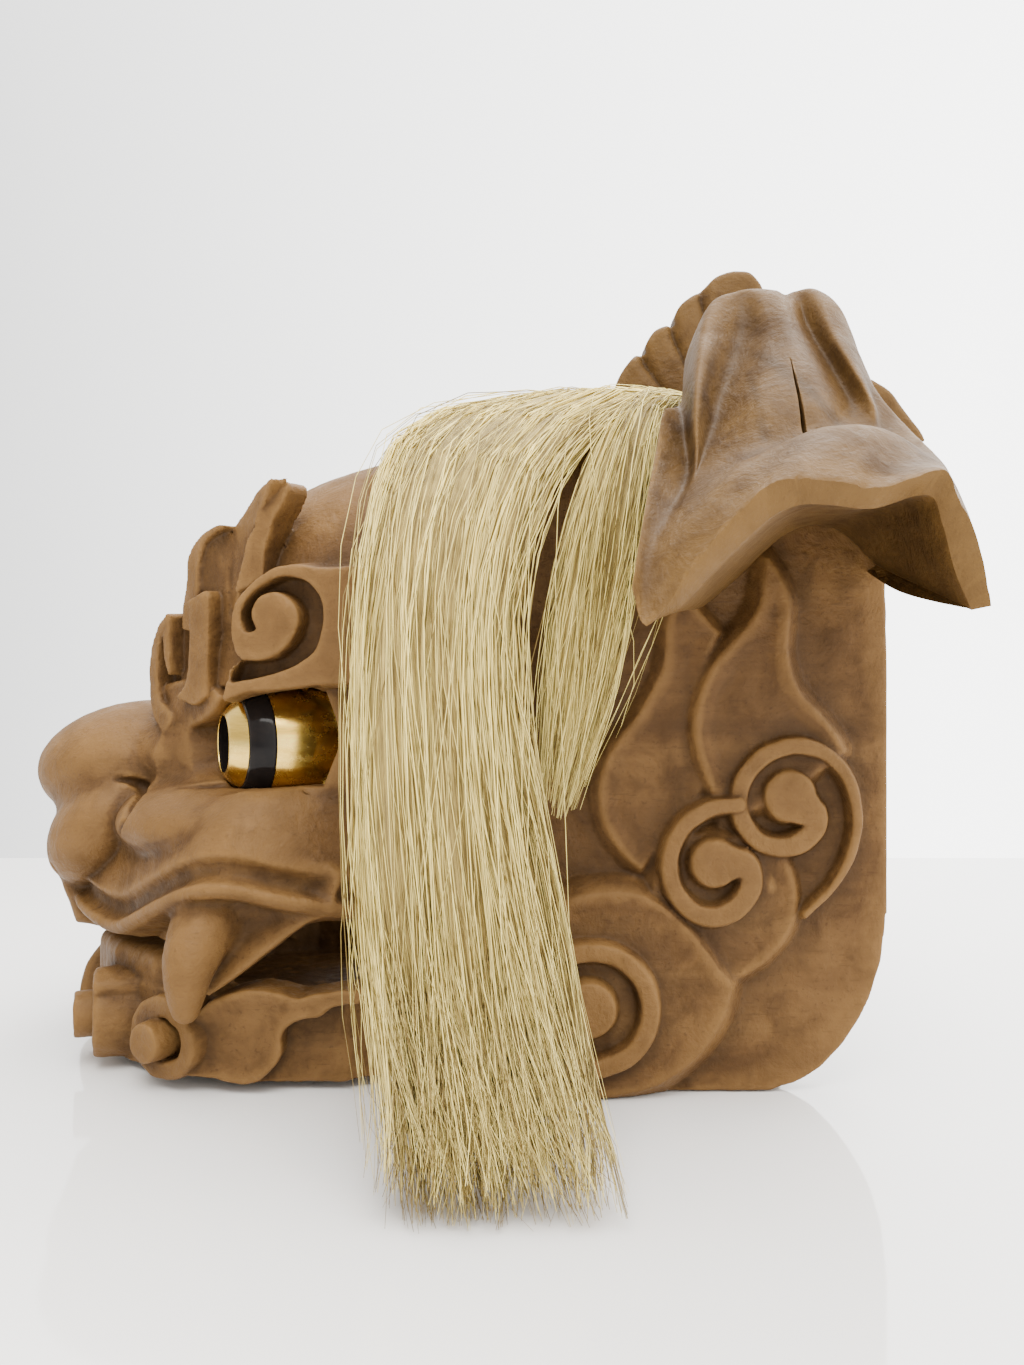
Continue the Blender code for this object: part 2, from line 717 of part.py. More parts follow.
# The horsehair's falls as their foremost and rearmost locks, from the root on the crown to the table
FRONT_FALL = (
    (
        (12, 66, 236), (24, 40, 240), (40, -8, 238), (62, -38, 222), (86, -46, 192),
        (103, -49, 150), (115, -50, 110), (126, -49, 70), (138, -45, 36), (160, -40, 16),
        (180, -40, 9),
    ),
    (
        (12, 74, 236), (34, 66, 240), (58, 46, 236), (84, 22, 212), (98, 10, 180),
        (106, 6, 145), (114, 8, 108), (124, 10, 70), (138, 16, 36), (158, 21, 16),
        (176, 24, 9),
    ),
)
REAR_FALL = (
    (
        (20, 68, 237), (44, 52, 238), (74, 32, 222), (88, 20, 190), (93, 12, 155),
        (97, 9, 120), (101, 8, 90),
    ),
    (
        (20, 76, 237), (44, 66, 237), (64, 50, 229), (84, 43, 198), (91, 38, 165),
        (96, 30, 128), (100, 18, 92),
    ),
)


def fall(name, locks, first_thickness, last_thickness):
    """A flattened bundle between two locks, thicker towards its end."""
    front, rear = (curve_through(lock, 1) for lock in locks)
    sides = 10
    rings = []
    for i, (a, b) in enumerate(zip(front, rear)):
        t = i / (len(front) - 1)
        centre = (a + b) / 2
        after = (front[min(i + 1, len(front) - 1)] + rear[min(i + 1, len(rear) - 1)]) / 2
        before = (front[max(i - 1, 0)] + rear[max(i - 1, 0)]) / 2
        across = (b - a) / 2
        lift = across.cross(after - before).normalized()
        lift = lift if lift.x + lift.z > 0 else -lift
        thickness = first_thickness + (last_thickness - first_thickness) * t
        ring = []
        for j in range(sides):
            angle = 2 * math.pi * j / sides
            point = centre + across * math.cos(angle)
            ring.append(point * SHARE + lift * thickness / 2 * math.sin(angle))
        rings.append(ring)
    return loft(name, rings)


def hair():
    """The left half of the mane: a broad front fall to the table and a shorter one under the ear."""
    front = fall("hair_front", FRONT_FALL, 0.4 * HAIR_THICKNESS, 1.25 * HAIR_THICKNESS)
    rear = fall("hair_rear", REAR_FALL, 0.4 * HAIR_THICKNESS, 0.5 * HAIR_THICKNESS)
    made = combine("hair_solid", front, "UNION", [rear])
    return combine("hair_left", made, "DIFFERENCE", [under_table(TOUCH_GAP)])


def settle(source, name, material, origin=(0.0, 0.0, 0.0)):
    """Puts a finished piece into the head's frame, its own origin at `origin` in shares."""
    source.name = name
    guides.objects.unlink(source)
    parts.objects.link(source)
    source.hide_render = False
    source.display_type = "TEXTURED"
    source.data.transform(Matrix.Translation(-at(*origin)))
    source.location = at(origin[0], origin[1] + FRONT_TO_MIDDLE, origin[2])
    source.data.materials.clear()
    source.data.materials.append(material)
    source.data.shade_smooth()
    source.data.set_sharp_from_angle(angle=math.radians(35))


brown_wood = finish("brown_wood", WOOD_BROWN, 0.55)
tan_wood = finish("tan_wood", WOOD_TAN, 0.5)
gilding = finish("gilding", GOLD, 0.18, 1.0)
horsehair = finish("horsehair", HORSEHAIR, 0.45)

settle(head(), "head", brown_wood)
settle(jaw(), "jaw", brown_wood, (0, HINGE_Y, HINGE_Z))
settle(crest(), "crest", tan_wood)
for name, builder, material in (("ear", ear, tan_wood), ("eye", eye, gilding), ("hair", hair, horsehair)):
    left_piece = builder()
    right_piece = mirrored(left_piece)
    settle(left_piece, f"{name}_left", material)
    settle(right_piece, f"{name}_right", material)
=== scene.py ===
"""A carved wooden lion dance head with gilt eyes and a horsehair mane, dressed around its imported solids.

Lengths in the carving are millimetres from the plane of the table, the middle of the head and a point
between the eyes and the ears; `metres` turns them into the frame's metres.
"""

import logging
import math
from dataclasses import dataclass, field
from enum import Enum
from typing import Sequence

import bmesh
import bpy
import numpy as np
from mathutils import Matrix, Vector


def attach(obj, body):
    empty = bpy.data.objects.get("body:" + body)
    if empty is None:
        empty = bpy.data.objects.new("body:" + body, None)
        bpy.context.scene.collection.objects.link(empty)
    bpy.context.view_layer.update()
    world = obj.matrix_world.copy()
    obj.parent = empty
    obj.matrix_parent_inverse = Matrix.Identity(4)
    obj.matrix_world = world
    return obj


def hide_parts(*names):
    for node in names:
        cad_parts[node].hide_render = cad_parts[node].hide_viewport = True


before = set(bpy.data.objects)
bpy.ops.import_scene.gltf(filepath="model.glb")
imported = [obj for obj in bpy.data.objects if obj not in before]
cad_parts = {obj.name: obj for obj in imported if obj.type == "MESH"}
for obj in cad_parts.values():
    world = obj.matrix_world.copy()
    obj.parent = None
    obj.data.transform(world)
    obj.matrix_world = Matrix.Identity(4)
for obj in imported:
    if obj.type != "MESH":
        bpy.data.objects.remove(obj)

LOG = logging.getLogger("lion_dance_head")
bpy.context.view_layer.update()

MILLIMETRE = 0.001
FRONT_TO_MIDDLE = 11.315
FAR_AWAY = 60.0
FAR_CORNER = 500.0
VERY_FAR = 1e6
TINY = 1e-9
FIELD_MARGIN = 9.0

Floats = np.ndarray
Pair = tuple[float, float]
Triple = tuple[float, float, float]
Piece = bpy.types.Object
Points = Sequence[tuple[float, ...]]


def metres(points: Floats) -> Floats:
    """Carving points in millimetres as frame points in metres."""
    return (points + np.array([0.0, FRONT_TO_MIDDLE, 0.0])) * MILLIMETRE


def smooth_line(points: Points, steps: int) -> Floats:
    """A smooth line through the points, its ends kept.

    Args:
        points: the line's own points, with as many coordinates as wanted.
        steps: pieces between two neighbours.

    Returns:
        The line's points, one row each.
    """
    given = np.asarray(points, float)
    padded = np.vstack([2 * given[0] - given[1], given, 2 * given[-1] - given[-2]])
    t = np.linspace(0.0, 1.0, steps, endpoint=False)[:, None]
    rows = []
    for before, start, end, after in zip(padded, padded[1:], padded[2:], padded[3:]):
        bend = (2 * before - 5 * start + 4 * end - after) * t**2
        swing = (3 * start - before - 3 * end + after) * t**3
        rows.append(0.5 * (2 * start + (end - before) * t + bend + swing))
    return np.vstack([*rows, given[-1:]])


def outline_through(*stretches: Points, steps: int = 5) -> Floats:
    """A closed outline from smooth stretches that meet in corners."""
    return np.vstack([smooth_line(stretch, steps)[:-1] for stretch in stretches])


def ring_through(*stretches: Points, steps: int = 5) -> Floats:
    """A closed outline from smooth stretches, each of which runs on to the start of the next."""
    following = (*stretches[1:], stretches[0])
    return outline_through(*[[*one, after[0]] for one, after in zip(stretches, following)], steps=steps)


def blend_min(a: Floats, b: Floats | float, radius: float) -> Floats:
    """The lower of two fields, with a fillet of this radius where they meet."""
    if radius <= 0:
        return np.minimum(a, b)
    h = np.maximum(radius - np.abs(a - b), 0.0) / radius
    return np.minimum(a, b) - h * h * radius * 0.25


def blend_max(a: Floats, b: Floats | float, radius: float) -> Floats:
    """The higher of two fields, with a rounded edge of this radius where they meet."""
    return -blend_min(-a, -b, radius)


def ease(t: Floats) -> Floats:
    """A smooth step from 0 to 1."""
    t = np.clip(t, 0.0, 1.0)
    return t * t * (3 - 2 * t)


def stroke_distance(u: Floats, v: Floats, line: Floats, halves: Floats) -> Floats:
    """The signed distance to a flat stroke whose half width changes along its line."""
    best = np.full(u.shape, VERY_FAR, np.float32)
    line, halves = line.tolist(), halves.tolist()
    for a, b, half_a, half_b in zip(line[:-1], line[1:], halves[:-1], halves[1:]):
        du, dv = b[0] - a[0], b[1] - a[1]
        length = du * du + dv * dv
        if length < TINY:
            continue
        t = np.clip(((u - a[0]) * du + (v - a[1]) * dv) / length, 0.0, 1.0)
        away = np.hypot(u - a[0] - t * du, v - a[1] - t * dv)
        best = np.minimum(best, away - (half_a + t * (half_b - half_a)))
    return best


def outline_distance(u: Floats, v: Floats, outline: Floats) -> Floats:
    """The signed distance to a closed outline, below zero inside it."""
    nearest = np.full(u.shape, VERY_FAR**2, np.float32)
    inside = np.zeros(u.shape, bool)
    corners = outline.tolist()
    for a, b in zip(corners, corners[1:] + corners[:1]):
        du, dv = b[0] - a[0], b[1] - a[1]
        length = du * du + dv * dv
        if length < TINY:
            continue
        t = np.clip(((u - a[0]) * du + (v - a[1]) * dv) / length, 0.0, 1.0)
        nearest = np.minimum(nearest, (u - a[0] - t * du) ** 2 + (v - a[1] - t * dv) ** 2)
        crosses = (a[1] > v) != (b[1] > v)
        if dv:
            inside ^= crosses & (u < a[0] + (v - a[1]) * du / dv)
    away = np.sqrt(nearest)
    return np.where(inside, -away, away)


class Shape:
    """A solid given by a field, below zero inside it. X is the distance from the middle plane."""

    low = np.full(3, -1e3)
    high = np.full(3, 1e3)

    def value(self, x: Floats, y: Floats, z: Floats) -> Floats:
        """The field at these points, in millimetres."""
        raise NotImplementedError


@dataclass
class Ball(Shape):
    """An ellipsoid, leaned about X by `tilt` degrees."""

    centre: Triple
    radii: Triple
    tilt: float = 0.0

    def __post_init__(self) -> None:
        """Works out the box around the ellipsoid."""
        reach = max(self.radii)
        self.low = np.array(self.centre) - reach
        self.high = np.array(self.centre) + reach

    def value(self, x: Floats, y: Floats, z: Floats) -> Floats:
        """The field at these points, in millimetres."""
        x, y, z = x - self.centre[0], y - self.centre[1], z - self.centre[2]
        lean = math.radians(self.tilt)
        y, z = y * math.cos(lean) + z * math.sin(lean), z * math.cos(lean) - y * math.sin(lean)
        a, b, c = self.radii
        near = np.sqrt((x / a) ** 2 + (y / b) ** 2 + (z / c) ** 2)
        steep = np.sqrt((x / a**2) ** 2 + (y / b**2) ** 2 + (z / c**2) ** 2) + TINY
        return near * (near - 1.0) / steep


@dataclass
class Rod(Shape):
    """A round rod along a smooth line; each point is x, y, z and the radius there."""

    points: Points
    steps: int = 4

    def __post_init__(self) -> None:
        """Smooths the line and works out its box."""
        self.line = smooth_line(self.points, self.steps)
        reach = self.line[:, 3:4]
        self.low = (self.line[:, :3] - reach).min(0)
        self.high = (self.line[:, :3] + reach).max(0)

    def value(self, x: Floats, y: Floats, z: Floats) -> Floats:
        """The field at these points, in millimetres."""
        best = np.full(x.shape, VERY_FAR)
        for a, b in zip(self.line[:-1], self.line[1:]):
            d = b[:3] - a[:3]
            length = float(d @ d) + TINY
            t = np.clip(((x - a[0]) * d[0] + (y - a[1]) * d[1] + (z - a[2]) * d[2]) / length, 0, 1)
            away = np.sqrt(
                (x - a[0] - t * d[0]) ** 2 + (y - a[1] - t * d[1]) ** 2 + (z - a[2] - t * d[2]) ** 2
            )
            best = np.minimum(best, away - (a[3] + t * (b[3] - a[3])))
        return best


@dataclass
class Plane:
    """An upright plane through (x, y) that looks `heading` degrees away from straight ahead."""

    x: float
    y: float = 0.0
    heading: float = 90.0

    def forward(self, distance: float) -> "Plane":
        """The same plane, moved this far the way it looks."""
        turn = math.radians(self.heading)
        return Plane(self.x + distance * math.sin(turn), self.y - distance * math.cos(turn), self.heading)

    def split(self, x: Floats, y: Floats) -> tuple[Floats, Floats]:
        """How far along the plane, and how far in front of it, these points are."""
        turn = math.radians(self.heading)
        along = (x - self.x) * math.cos(turn) + (y - self.y) * math.sin(turn)
        ahead = (x - self.x) * math.sin(turn) - (y - self.y) * math.cos(turn)
        return along, ahead

    def seen(self, points: Floats) -> Floats:
        """Points drawn from the side as (y, z), laid out on the plane."""
        laid = np.array(points, float)
        laid[:, 0] = (laid[:, 0] - self.y) / math.sin(math.radians(self.heading))
        return laid


@dataclass
class Plate(Shape):
    """A carved leaf on a plane: an outline or a stroke with a shaped top and sloping walls.

    The outline is drawn from the side. `slope` is how far the wall runs out for each millimetre down,
    `dish` how much lower the top lies inside its rim, `rim` the rim's width and `edge` its rounding.
    """

    plane: Plane
    depth: float
    outline: Floats | None = None
    line: Floats | None = None
    halves: Floats | None = None
    slope: float = 0.0
    dish: float = 0.0
    rim: float = 3.0
    edge: float = 0.8

    def __post_init__(self) -> None:
        """Lays the drawing on the plane and works out its box."""
        self.laid = self.plane.seen(self.line if self.outline is None else self.outline)
        grow = self.slope * self.depth + (0.0 if self.halves is None else float(np.max(self.halves)))
        turn = math.radians(self.plane.heading)
        corners = []
        for along, up in self.laid:
            for ahead in (0.0, -self.depth):
                x = self.plane.x + along * math.cos(turn) + ahead * math.sin(turn)
                y = self.plane.y + along * math.sin(turn) - ahead * math.cos(turn)
                corners.append((x, y, up))
        self.low = np.min(corners, axis=0) - grow - 1.0
        self.high = np.max(corners, axis=0) + grow + 1.0

    def value(self, x: Floats, y: Floats, z: Floats) -> Floats:
        """The field at these points, in millimetres."""
        along, ahead = self.plane.split(x, y)
        if self.outline is not None:
            flat = outline_distance(along, z, self.laid)
        else:
            flat = stroke_distance(along, z, self.laid, self.halves)
        top = ahead + self.dish * ease(-flat / self.rim) if self.dish else ahead
        wall = (flat + self.slope * np.minimum(ahead, 0.0)) / math.hypot(1.0, self.slope)
        return np.maximum(blend_max(wall, top, self.edge), -self.depth - ahead)


@dataclass
class Skull(Shape):
    """The head's outer form: upright sides and a rounded top that change along Y."""

    inset: float = 0.0
    start: float = -124.0
    end: float = 122.0
    bottom: float = 58.0
    spring: float = 118.0
    fullness: float = 3.0
    sections: Points = (
        (-124, 39, 131), (-110, 48, 162), (-96, 58, 188), (-80, 68, 203), (-58, 75, 212),
        (-25, 76.5, 220), (20, 77.2, 226), (70, 77.2, 230), (122, 77.2, 226),
    )

    def value(self, x: Floats, y: Floats, z: Floats) -> Floats:
        """The field at these points, in millimetres."""
        table = smooth_line(self.sections, 6)
        width = np.interp(y, table[:, 0], table[:, 1]) - self.inset
        top = np.interp(y, table[:, 0], table[:, 2]) - self.inset
        up = np.maximum(z - self.spring, 0.0) / (top - self.spring)
        round_off = (np.abs(x) / width) ** self.fullness + up**self.fullness
        shell = (round_off ** (1 / self.fullness) - 1.0) * np.where(up > 0.8, top - self.spring, width)
        return np.maximum.reduce([shell, self.start - y, y - self.end, self.bottom - z])


@dataclass
class Block(Shape):
    """A box with rounded edges between two corners."""

    corner: Triple
    opposite: Triple
    edge: float = 1.0

    def __post_init__(self) -> None:
        """Takes the box from the corners."""
        self.low, self.high = np.array(self.corner, float), np.array(self.opposite, float)

    def value(self, x: Floats, y: Floats, z: Floats) -> Floats:
        """The field at these points, in millimetres."""
        sides = [
            np.abs(p - (a + b) / 2) - (b - a) / 2
            for p, a, b in zip((x, y, z), self.low, self.high)
        ]
        return blend_max(blend_max(sides[0], sides[1], self.edge), sides[2], self.edge)


@dataclass
class Slab(Shape):
    """A solid with upright walls over an outline in the plan, between two heights."""

    plan: Points
    bottom: float
    top: float
    edge: float = 1.5

    def __post_init__(self) -> None:
        """Takes the box from the plan."""
        self.outline = np.array(self.plan, float)
        self.low = np.array([*(self.outline.min(0) - 1), self.bottom - 1])
        self.high = np.array([*(self.outline.max(0) + 1), self.top + 1])

    def value(self, x: Floats, y: Floats, z: Floats) -> Floats:
        """The field at these points, in millimetres."""
        flat = outline_distance(x, y, self.outline)
        return blend_max(blend_max(flat, self.bottom - z, self.edge), z - self.top, self.edge)


@dataclass
class Groove(Shape):
    """A V-shaped channel in a plane's face, along a line whose half widths are given."""

    plane: Plane
    line: Floats
    halves: Floats
    depth: float

    def __post_init__(self) -> None:
        """Lays the line on the plane and works out the groove's box."""
        self.laid = self.plane.seen(self.line)
        drawn = np.array(self.line, float)
        self.low = np.array([self.plane.x - 60, drawn[:, 0].min() - 8, drawn[:, 1].min() - 8])
        self.high = np.array([self.plane.x + 60, drawn[:, 0].max() + 8, drawn[:, 1].max() + 8])

    def value(self, x: Floats, y: Floats, z: Floats) -> Floats:
        """The field at these points, in millimetres."""
        along, ahead = self.plane.split(x, y)
        flat = stroke_distance(along, z, self.laid, np.asarray(self.halves, float))
        steep = float(np.max(self.halves)) / self.depth
        return (flat - ahead * steep) / math.hypot(1.0, steep)


@dataclass
class Turned(Shape):
    """A round bar along an axis in the plan, between two distances from its start."""

    start: Triple
    heading: float
    radius: float
    length: float

    def value(self, x: Floats, y: Floats, z: Floats) -> Floats:
        """The field at these points, in millimetres."""
        turn = math.radians(self.heading)
        along = (x - self.start[0]) * math.sin(turn) - (y - self.start[1]) * math.cos(turn)
        aside = (x - self.start[0]) * math.cos(turn) + (y - self.start[1]) * math.sin(turn)
        across = np.hypot(aside, z - self.start[2])
        return np.maximum(across - self.radius, np.abs(along - self.length / 2) - self.length / 2)


@dataclass
class Meeting(Shape):
    """What two shapes have in common."""

    first: Shape
    second: Shape
    edge: float = 1.0

    def __post_init__(self) -> None:
        """Takes the first shape's box."""
        self.low, self.high = self.first.low, self.first.high

    def value(self, x: Floats, y: Floats, z: Floats) -> Floats:
        """The field at these points, in millimetres."""
        return blend_max(self.first.value(x, y, z), self.second.value(x, y, z), self.edge)


@dataclass
class Inner(Shape):
    """A carving of its own, used as one shape of a larger one."""

    carving: "Carving"
    corner: Triple
    opposite: Triple

    def __post_init__(self) -> None:
        """Takes the box from the corners."""
        self.low, self.high = np.array(self.corner, float), np.array(self.opposite, float)

    def value(self, x: Floats, y: Floats, z: Floats) -> Floats:
        """The field at these points, in millimetres."""
        return self.carving.value(np.stack([x, y, z], 1))


class Cut(Enum):
    """What a carving step does with its shape."""

    ADD = 1
    TAKE = 2
    KEEP = 3


@dataclass
class Carving:
    """A solid as a list of steps, each adding a shape to it or taking one away."""

    steps: list[tuple[Cut, Shape, float]] = field(default_factory=list)
    waves: Pair = (0.0, 9.0)

    def add(self, *shapes: Shape, fillet: float = 0.0) -> None:
        """Joins shapes to the solid."""
        self.steps += [(Cut.ADD, shape, fillet) for shape in shapes]

    def take(self, *shapes: Shape, fillet: float = 0.0) -> None:
        """Cuts shapes away from the solid."""
        self.steps += [(Cut.TAKE, shape, fillet) for shape in shapes]

    def stand(self) -> None:
        """Cuts off what would reach under the table."""
        over = Block((-FAR_CORNER, -FAR_CORNER, 0.0), (FAR_CORNER, FAR_CORNER, FAR_CORNER))
        self.steps.append((Cut.KEEP, over, 0.0))

    def value(self, points: Floats) -> Floats:
        """The field of the whole solid at these points.

        Args:
            points: one row of x, y and z for each point.

        Returns:
            The distance to the surface, below zero inside, about right near the surface.
        """
        points = np.asarray(points, np.float32)
        x, y, z = np.abs(points[:, 0]), points[:, 1], points[:, 2]
        total = np.full(len(points), FAR_AWAY, np.float32)
        for cut, shape, fillet in self.steps:
            margin = FIELD_MARGIN + fillet
            low, high = shape.low - margin, shape.high + margin
            near = (
                (x > low[0]) & (x < high[0]) & (y > low[1]) & (y < high[1]) & (z > low[2]) & (z < high[2])
            )
            if not near.any():
                continue
            part = shape.value(x[near], y[near], z[near])
            if cut is Cut.ADD:
                total[near] = blend_min(total[near], part, fillet)
            elif cut is Cut.TAKE:
                total[near] = blend_max(total[near], -part, fillet)
            else:
                total[near] = blend_max(total[near], part, fillet)
        if self.waves[0]:
            total += tool_waves(points, self.waves[1]) * self.waves[0]
        return total


def laid_on(carving: Carving, points: Points, outermost: float = 108.0) -> list[tuple[float, ...]]:
    """Lays a line drawn from the side on a carving's outer face.

    Args:
        carving: the solid so far.
        points: the line as y, z, radius and how far its middle lies under the face.
        outermost: where the search starts, in millimetres from the middle.

    Returns:
        The line as x, y, z and radius.
    """
    laid = []
    for y, z, radius, sink in points:
        x = np.arange(outermost, 0.0, -0.5)
        there = carving.value(np.stack([x, np.full(x.shape, y), np.full(x.shape, z)], 1))
        hit = int(np.argmax(there < 0)) if (there < 0).any() else len(x) - 1
        laid.append((float(x[hit]) - sink, y, z, radius))
    return laid


def tool_waves(points: Floats, length: float) -> Floats:
    """Shallow hollows left by a gouge, between -1 and 1, as crossed slow waves."""
    x, y, z = points.T * (2 * math.pi / length)
    first = np.sin(x + 1.7 * np.sin(0.31 * y) + 0.6) * np.sin(0.9 * y + 1.3 * np.sin(0.23 * z))
    second = np.sin(0.8 * z + 1.1 * np.sin(0.37 * x) + 2.1) * np.cos(0.53 * (x + y))
    return 0.5 * (first + second)


def cell_numbers(counts: Sequence[int]) -> Floats:
    """Every cell of a grid as a row of three numbers."""
    return np.stack(np.meshgrid(*[np.arange(n) for n in counts], indexing="ij"), -1).reshape(-1, 3)


def sampled_room(carving: Carving, low: Floats, high: Floats, pitch: float) -> Floats:
    """The field on a grid, worked out point by point only near the surface.

    The room is looked through in blocks of eight, four and two pitches, and only the blocks that the
    surface can cross are looked at more closely.

    Args:
        carving: the solid.
        low: the lowest corner of the room it stands in.
        high: the highest corner.
        pitch: the distance between neighbouring points.

    Returns:
        The field's values, over zero all round the room.
    """
    span = 8
    blocks = np.ceil((high - low) / (pitch * span)).astype(int)
    counts = blocks * span + 1
    values = np.full(counts, FAR_AWAY, np.float32)
    corner = cell_numbers(blocks)
    while True:
        middle = carving.value(low + (corner + 0.5) * pitch * span)
        for step in cell_numbers((span, span, span)):
            values[tuple((corner * span + step).T)] = middle
        corner = corner[np.abs(middle) < pitch * (span + 1.0)]
        if span == 2:
            break
        corner = (corner[:, None] * 2 + cell_numbers((2, 2, 2))[None]).reshape(-1, 3)
        span //= 2
    wanted = np.zeros(counts, bool)
    for step in cell_numbers((3, 3, 3)):
        wanted[tuple((corner * span + step).T)] = True
    nodes = np.argwhere(wanted)
    values[wanted] = carving.value(low + nodes * pitch)
    values[[0, -1]] = values[:, [0, -1]] = values[:, :, [0, -1]] = 1.0
    return values


def crossing_quads(values: Floats) -> tuple[Floats, Floats]:
    """One quad across each grid edge that the surface crosses.

    Args:
        values: the field on the grid.

    Returns:
        The points in grid steps, and the quads as rows of four point numbers.
    """
    inside = values < 0
    cells = np.array(values.shape) - 1
    total = np.zeros((int(np.prod(cells)), 4), np.float32)
    quads = []
    for axis in range(3):
        others = [k for k in range(3) if k != axis]
        a = [slice(None)] * 3
        b = [slice(None)] * 3
        a[axis], b[axis] = slice(0, -1), slice(1, None)
        edges = np.argwhere(inside[tuple(a)] != inside[tuple(b)])
        start = values[tuple(a)][tuple(edges.T)]
        end = values[tuple(b)][tuple(edges.T)]
        place = edges.astype(float)
        place[:, axis] += start / (start - end)
        around = []
        for s, t in ((-1, -1), (0, -1), (0, 0), (-1, 0)):
            cell = edges.copy()
            cell[:, others[0]] += s
            cell[:, others[1]] += t
            number = np.ravel_multi_index(cell.T, cells)
            around.append(number)
            for column in range(3):
                total[:, column] += np.bincount(number, place[:, column], len(total))
            total[:, 3] += np.bincount(number, minlength=len(total))
        ring = np.stack(around, 1)
        turn_round = (start < 0) != (axis == 1)
        ring[turn_round] = ring[turn_round][:, ::-1]
        quads.append(ring)
    quads = np.vstack(quads)[:, ::-1]
    used, numbers = np.unique(quads, return_inverse=True)
    return total[used, :3] / total[used, 3:4], numbers.reshape(quads.shape)


def carved_mesh(carving: Carving, low: Points, high: Points, pitch: float) -> tuple[Floats, Floats]:
    """The surface of a carving as quads with points on the surface itself.

    Args:
        carving: the solid.
        low: the lowest corner of the room it stands in.
        high: the highest corner.
        pitch: the distance between neighbouring points.

    Returns:
        The points in millimetres, and the quads as rows of four point numbers.
    """
    low = np.array(low, float)
    places, quads = crossing_quads(sampled_room(carving, low, np.array(high, float), pitch))
    points = low + places * pitch
    here = carving.value(points)
    step = 0.3 * pitch
    slope = np.stack([(carving.value(points + np.eye(3)[k] * step) - here) / step for k in range(3)], 1)
    slope /= np.maximum((slope**2).sum(1), 0.3)[:, None]
    for _ in range(2):
        points -= np.clip(slope * here[:, None], -0.45 * pitch, 0.45 * pitch)
        here = carving.value(points)
    return points, quads


def placed(name: str, data: bpy.types.ID) -> bpy.types.Object:
    """A new object in the scene with this mesh, light or camera."""
    made = bpy.data.objects.new(name, data)
    bpy.context.scene.collection.objects.link(made)
    return made


def mesh_of(name: str, points: Floats, faces: Floats | list, smooth: bool = True) -> Piece:
    """A mesh object made straight from numbers.

    Args:
        name: the object's name.
        points: one row of x, y and z for each point, in metres.
        faces: rows of point numbers, all of one length.
        smooth: whether the faces are shaded smooth.

    Returns:
        The object.
    """
    mesh = bpy.data.meshes.new(name)
    faces = np.asarray(faces, np.int32)
    mesh.vertices.add(len(points))
    mesh.vertices.foreach_set("co", np.asarray(points, np.float32).ravel())
    mesh.loops.add(faces.size)
    mesh.loops.foreach_set("vertex_index", faces.ravel())
    mesh.polygons.add(len(faces))
    mesh.polygons.foreach_set("loop_start", np.arange(0, faces.size, faces.shape[1], dtype=np.int32))
    mesh.update(calc_edges=True)
    mesh.validate()
    if smooth:
        mesh.shade_smooth()
    return placed(name, mesh)


def mesh_from(work: bmesh.types.BMesh, name: str) -> Piece:
    """A bmesh as an object of its own, with its faces turned out."""
    bmesh.ops.recalc_face_normals(work, faces=work.faces)
    mesh = bpy.data.meshes.new(name)
    work.to_mesh(mesh)
    work.free()
    return placed(name, mesh)


def mesh_points(mesh: bpy.types.Mesh) -> Floats:
    """The mesh's points in millimetres, one row each."""
    points = np.empty(len(mesh.vertices) * 3)
    mesh.vertices.foreach_get("co", points)
    return points.reshape(-1, 3) / MILLIMETRE


def store(mesh: bpy.types.Mesh, name: str, values: Floats) -> None:
    """Stores one value on each of the mesh's points."""
    marks = mesh.attributes.new(name, "FLOAT", "POINT")
    marks.data.foreach_set("value", values.astype(np.float32).ravel())


def apply_modifiers(source: Piece) -> Piece:
    """Turns the object's modifiers into plain mesh."""
    bpy.context.view_layer.update()
    graph = bpy.context.evaluated_depsgraph_get()
    mesh = bpy.data.meshes.new_from_object(source.evaluated_get(graph))
    source.modifiers.clear()
    old = source.data
    source.data = mesh
    mesh.name = source.name
    if old.users == 0:
        bpy.data.meshes.remove(old)
    return source


def thinned(source: Piece, most: int) -> Piece:
    """The same surface with at most this many triangles, fewest where it is flat."""
    have = sum(len(face.vertices) - 2 for face in source.data.polygons)
    if have > most:
        modifier = source.modifiers.new("thin", "DECIMATE")
        modifier.ratio = most / have
        modifier.use_collapse_triangulate = True
        apply_modifiers(source)
        source.data.shade_smooth()
    return source


def mark_hollows(made: Piece, rounds: int = 60, full: float = 0.9) -> Piece:
    """Stores how far each point lies in a hollow (over 0) or on an edge (under 0), from -1 to 1.

    Args:
        made: the mesh to mark.
        rounds: how often the surface is smoothed to find its broad form.
        full: the depth under the broad form that counts as a full hollow, in millimetres.

    Returns:
        The same object.
    """
    mesh = made.data
    points = mesh_points(mesh)
    count = len(points)
    normals = np.empty(count * 3)
    mesh.vertices.foreach_get("normal", normals)
    edges = np.empty(len(mesh.edges) * 2, np.int32)
    mesh.edges.foreach_get("vertices", edges)
    first, second = edges[0::2], edges[1::2]
    here, there = np.concatenate([first, second]), np.concatenate([second, first])
    beside = np.maximum(np.bincount(here, minlength=count), 1)
    broad = points.copy()
    for _ in range(rounds):
        mean = np.stack([np.bincount(here, broad[there, k], count) for k in range(3)], 1) / beside[:, None]
        broad = (broad + mean) / 2
    depth = ((broad - points) * normals.reshape(-1, 3)).sum(1)
    store(mesh, "hollow", np.clip(depth / full, -1, 1))
    return made


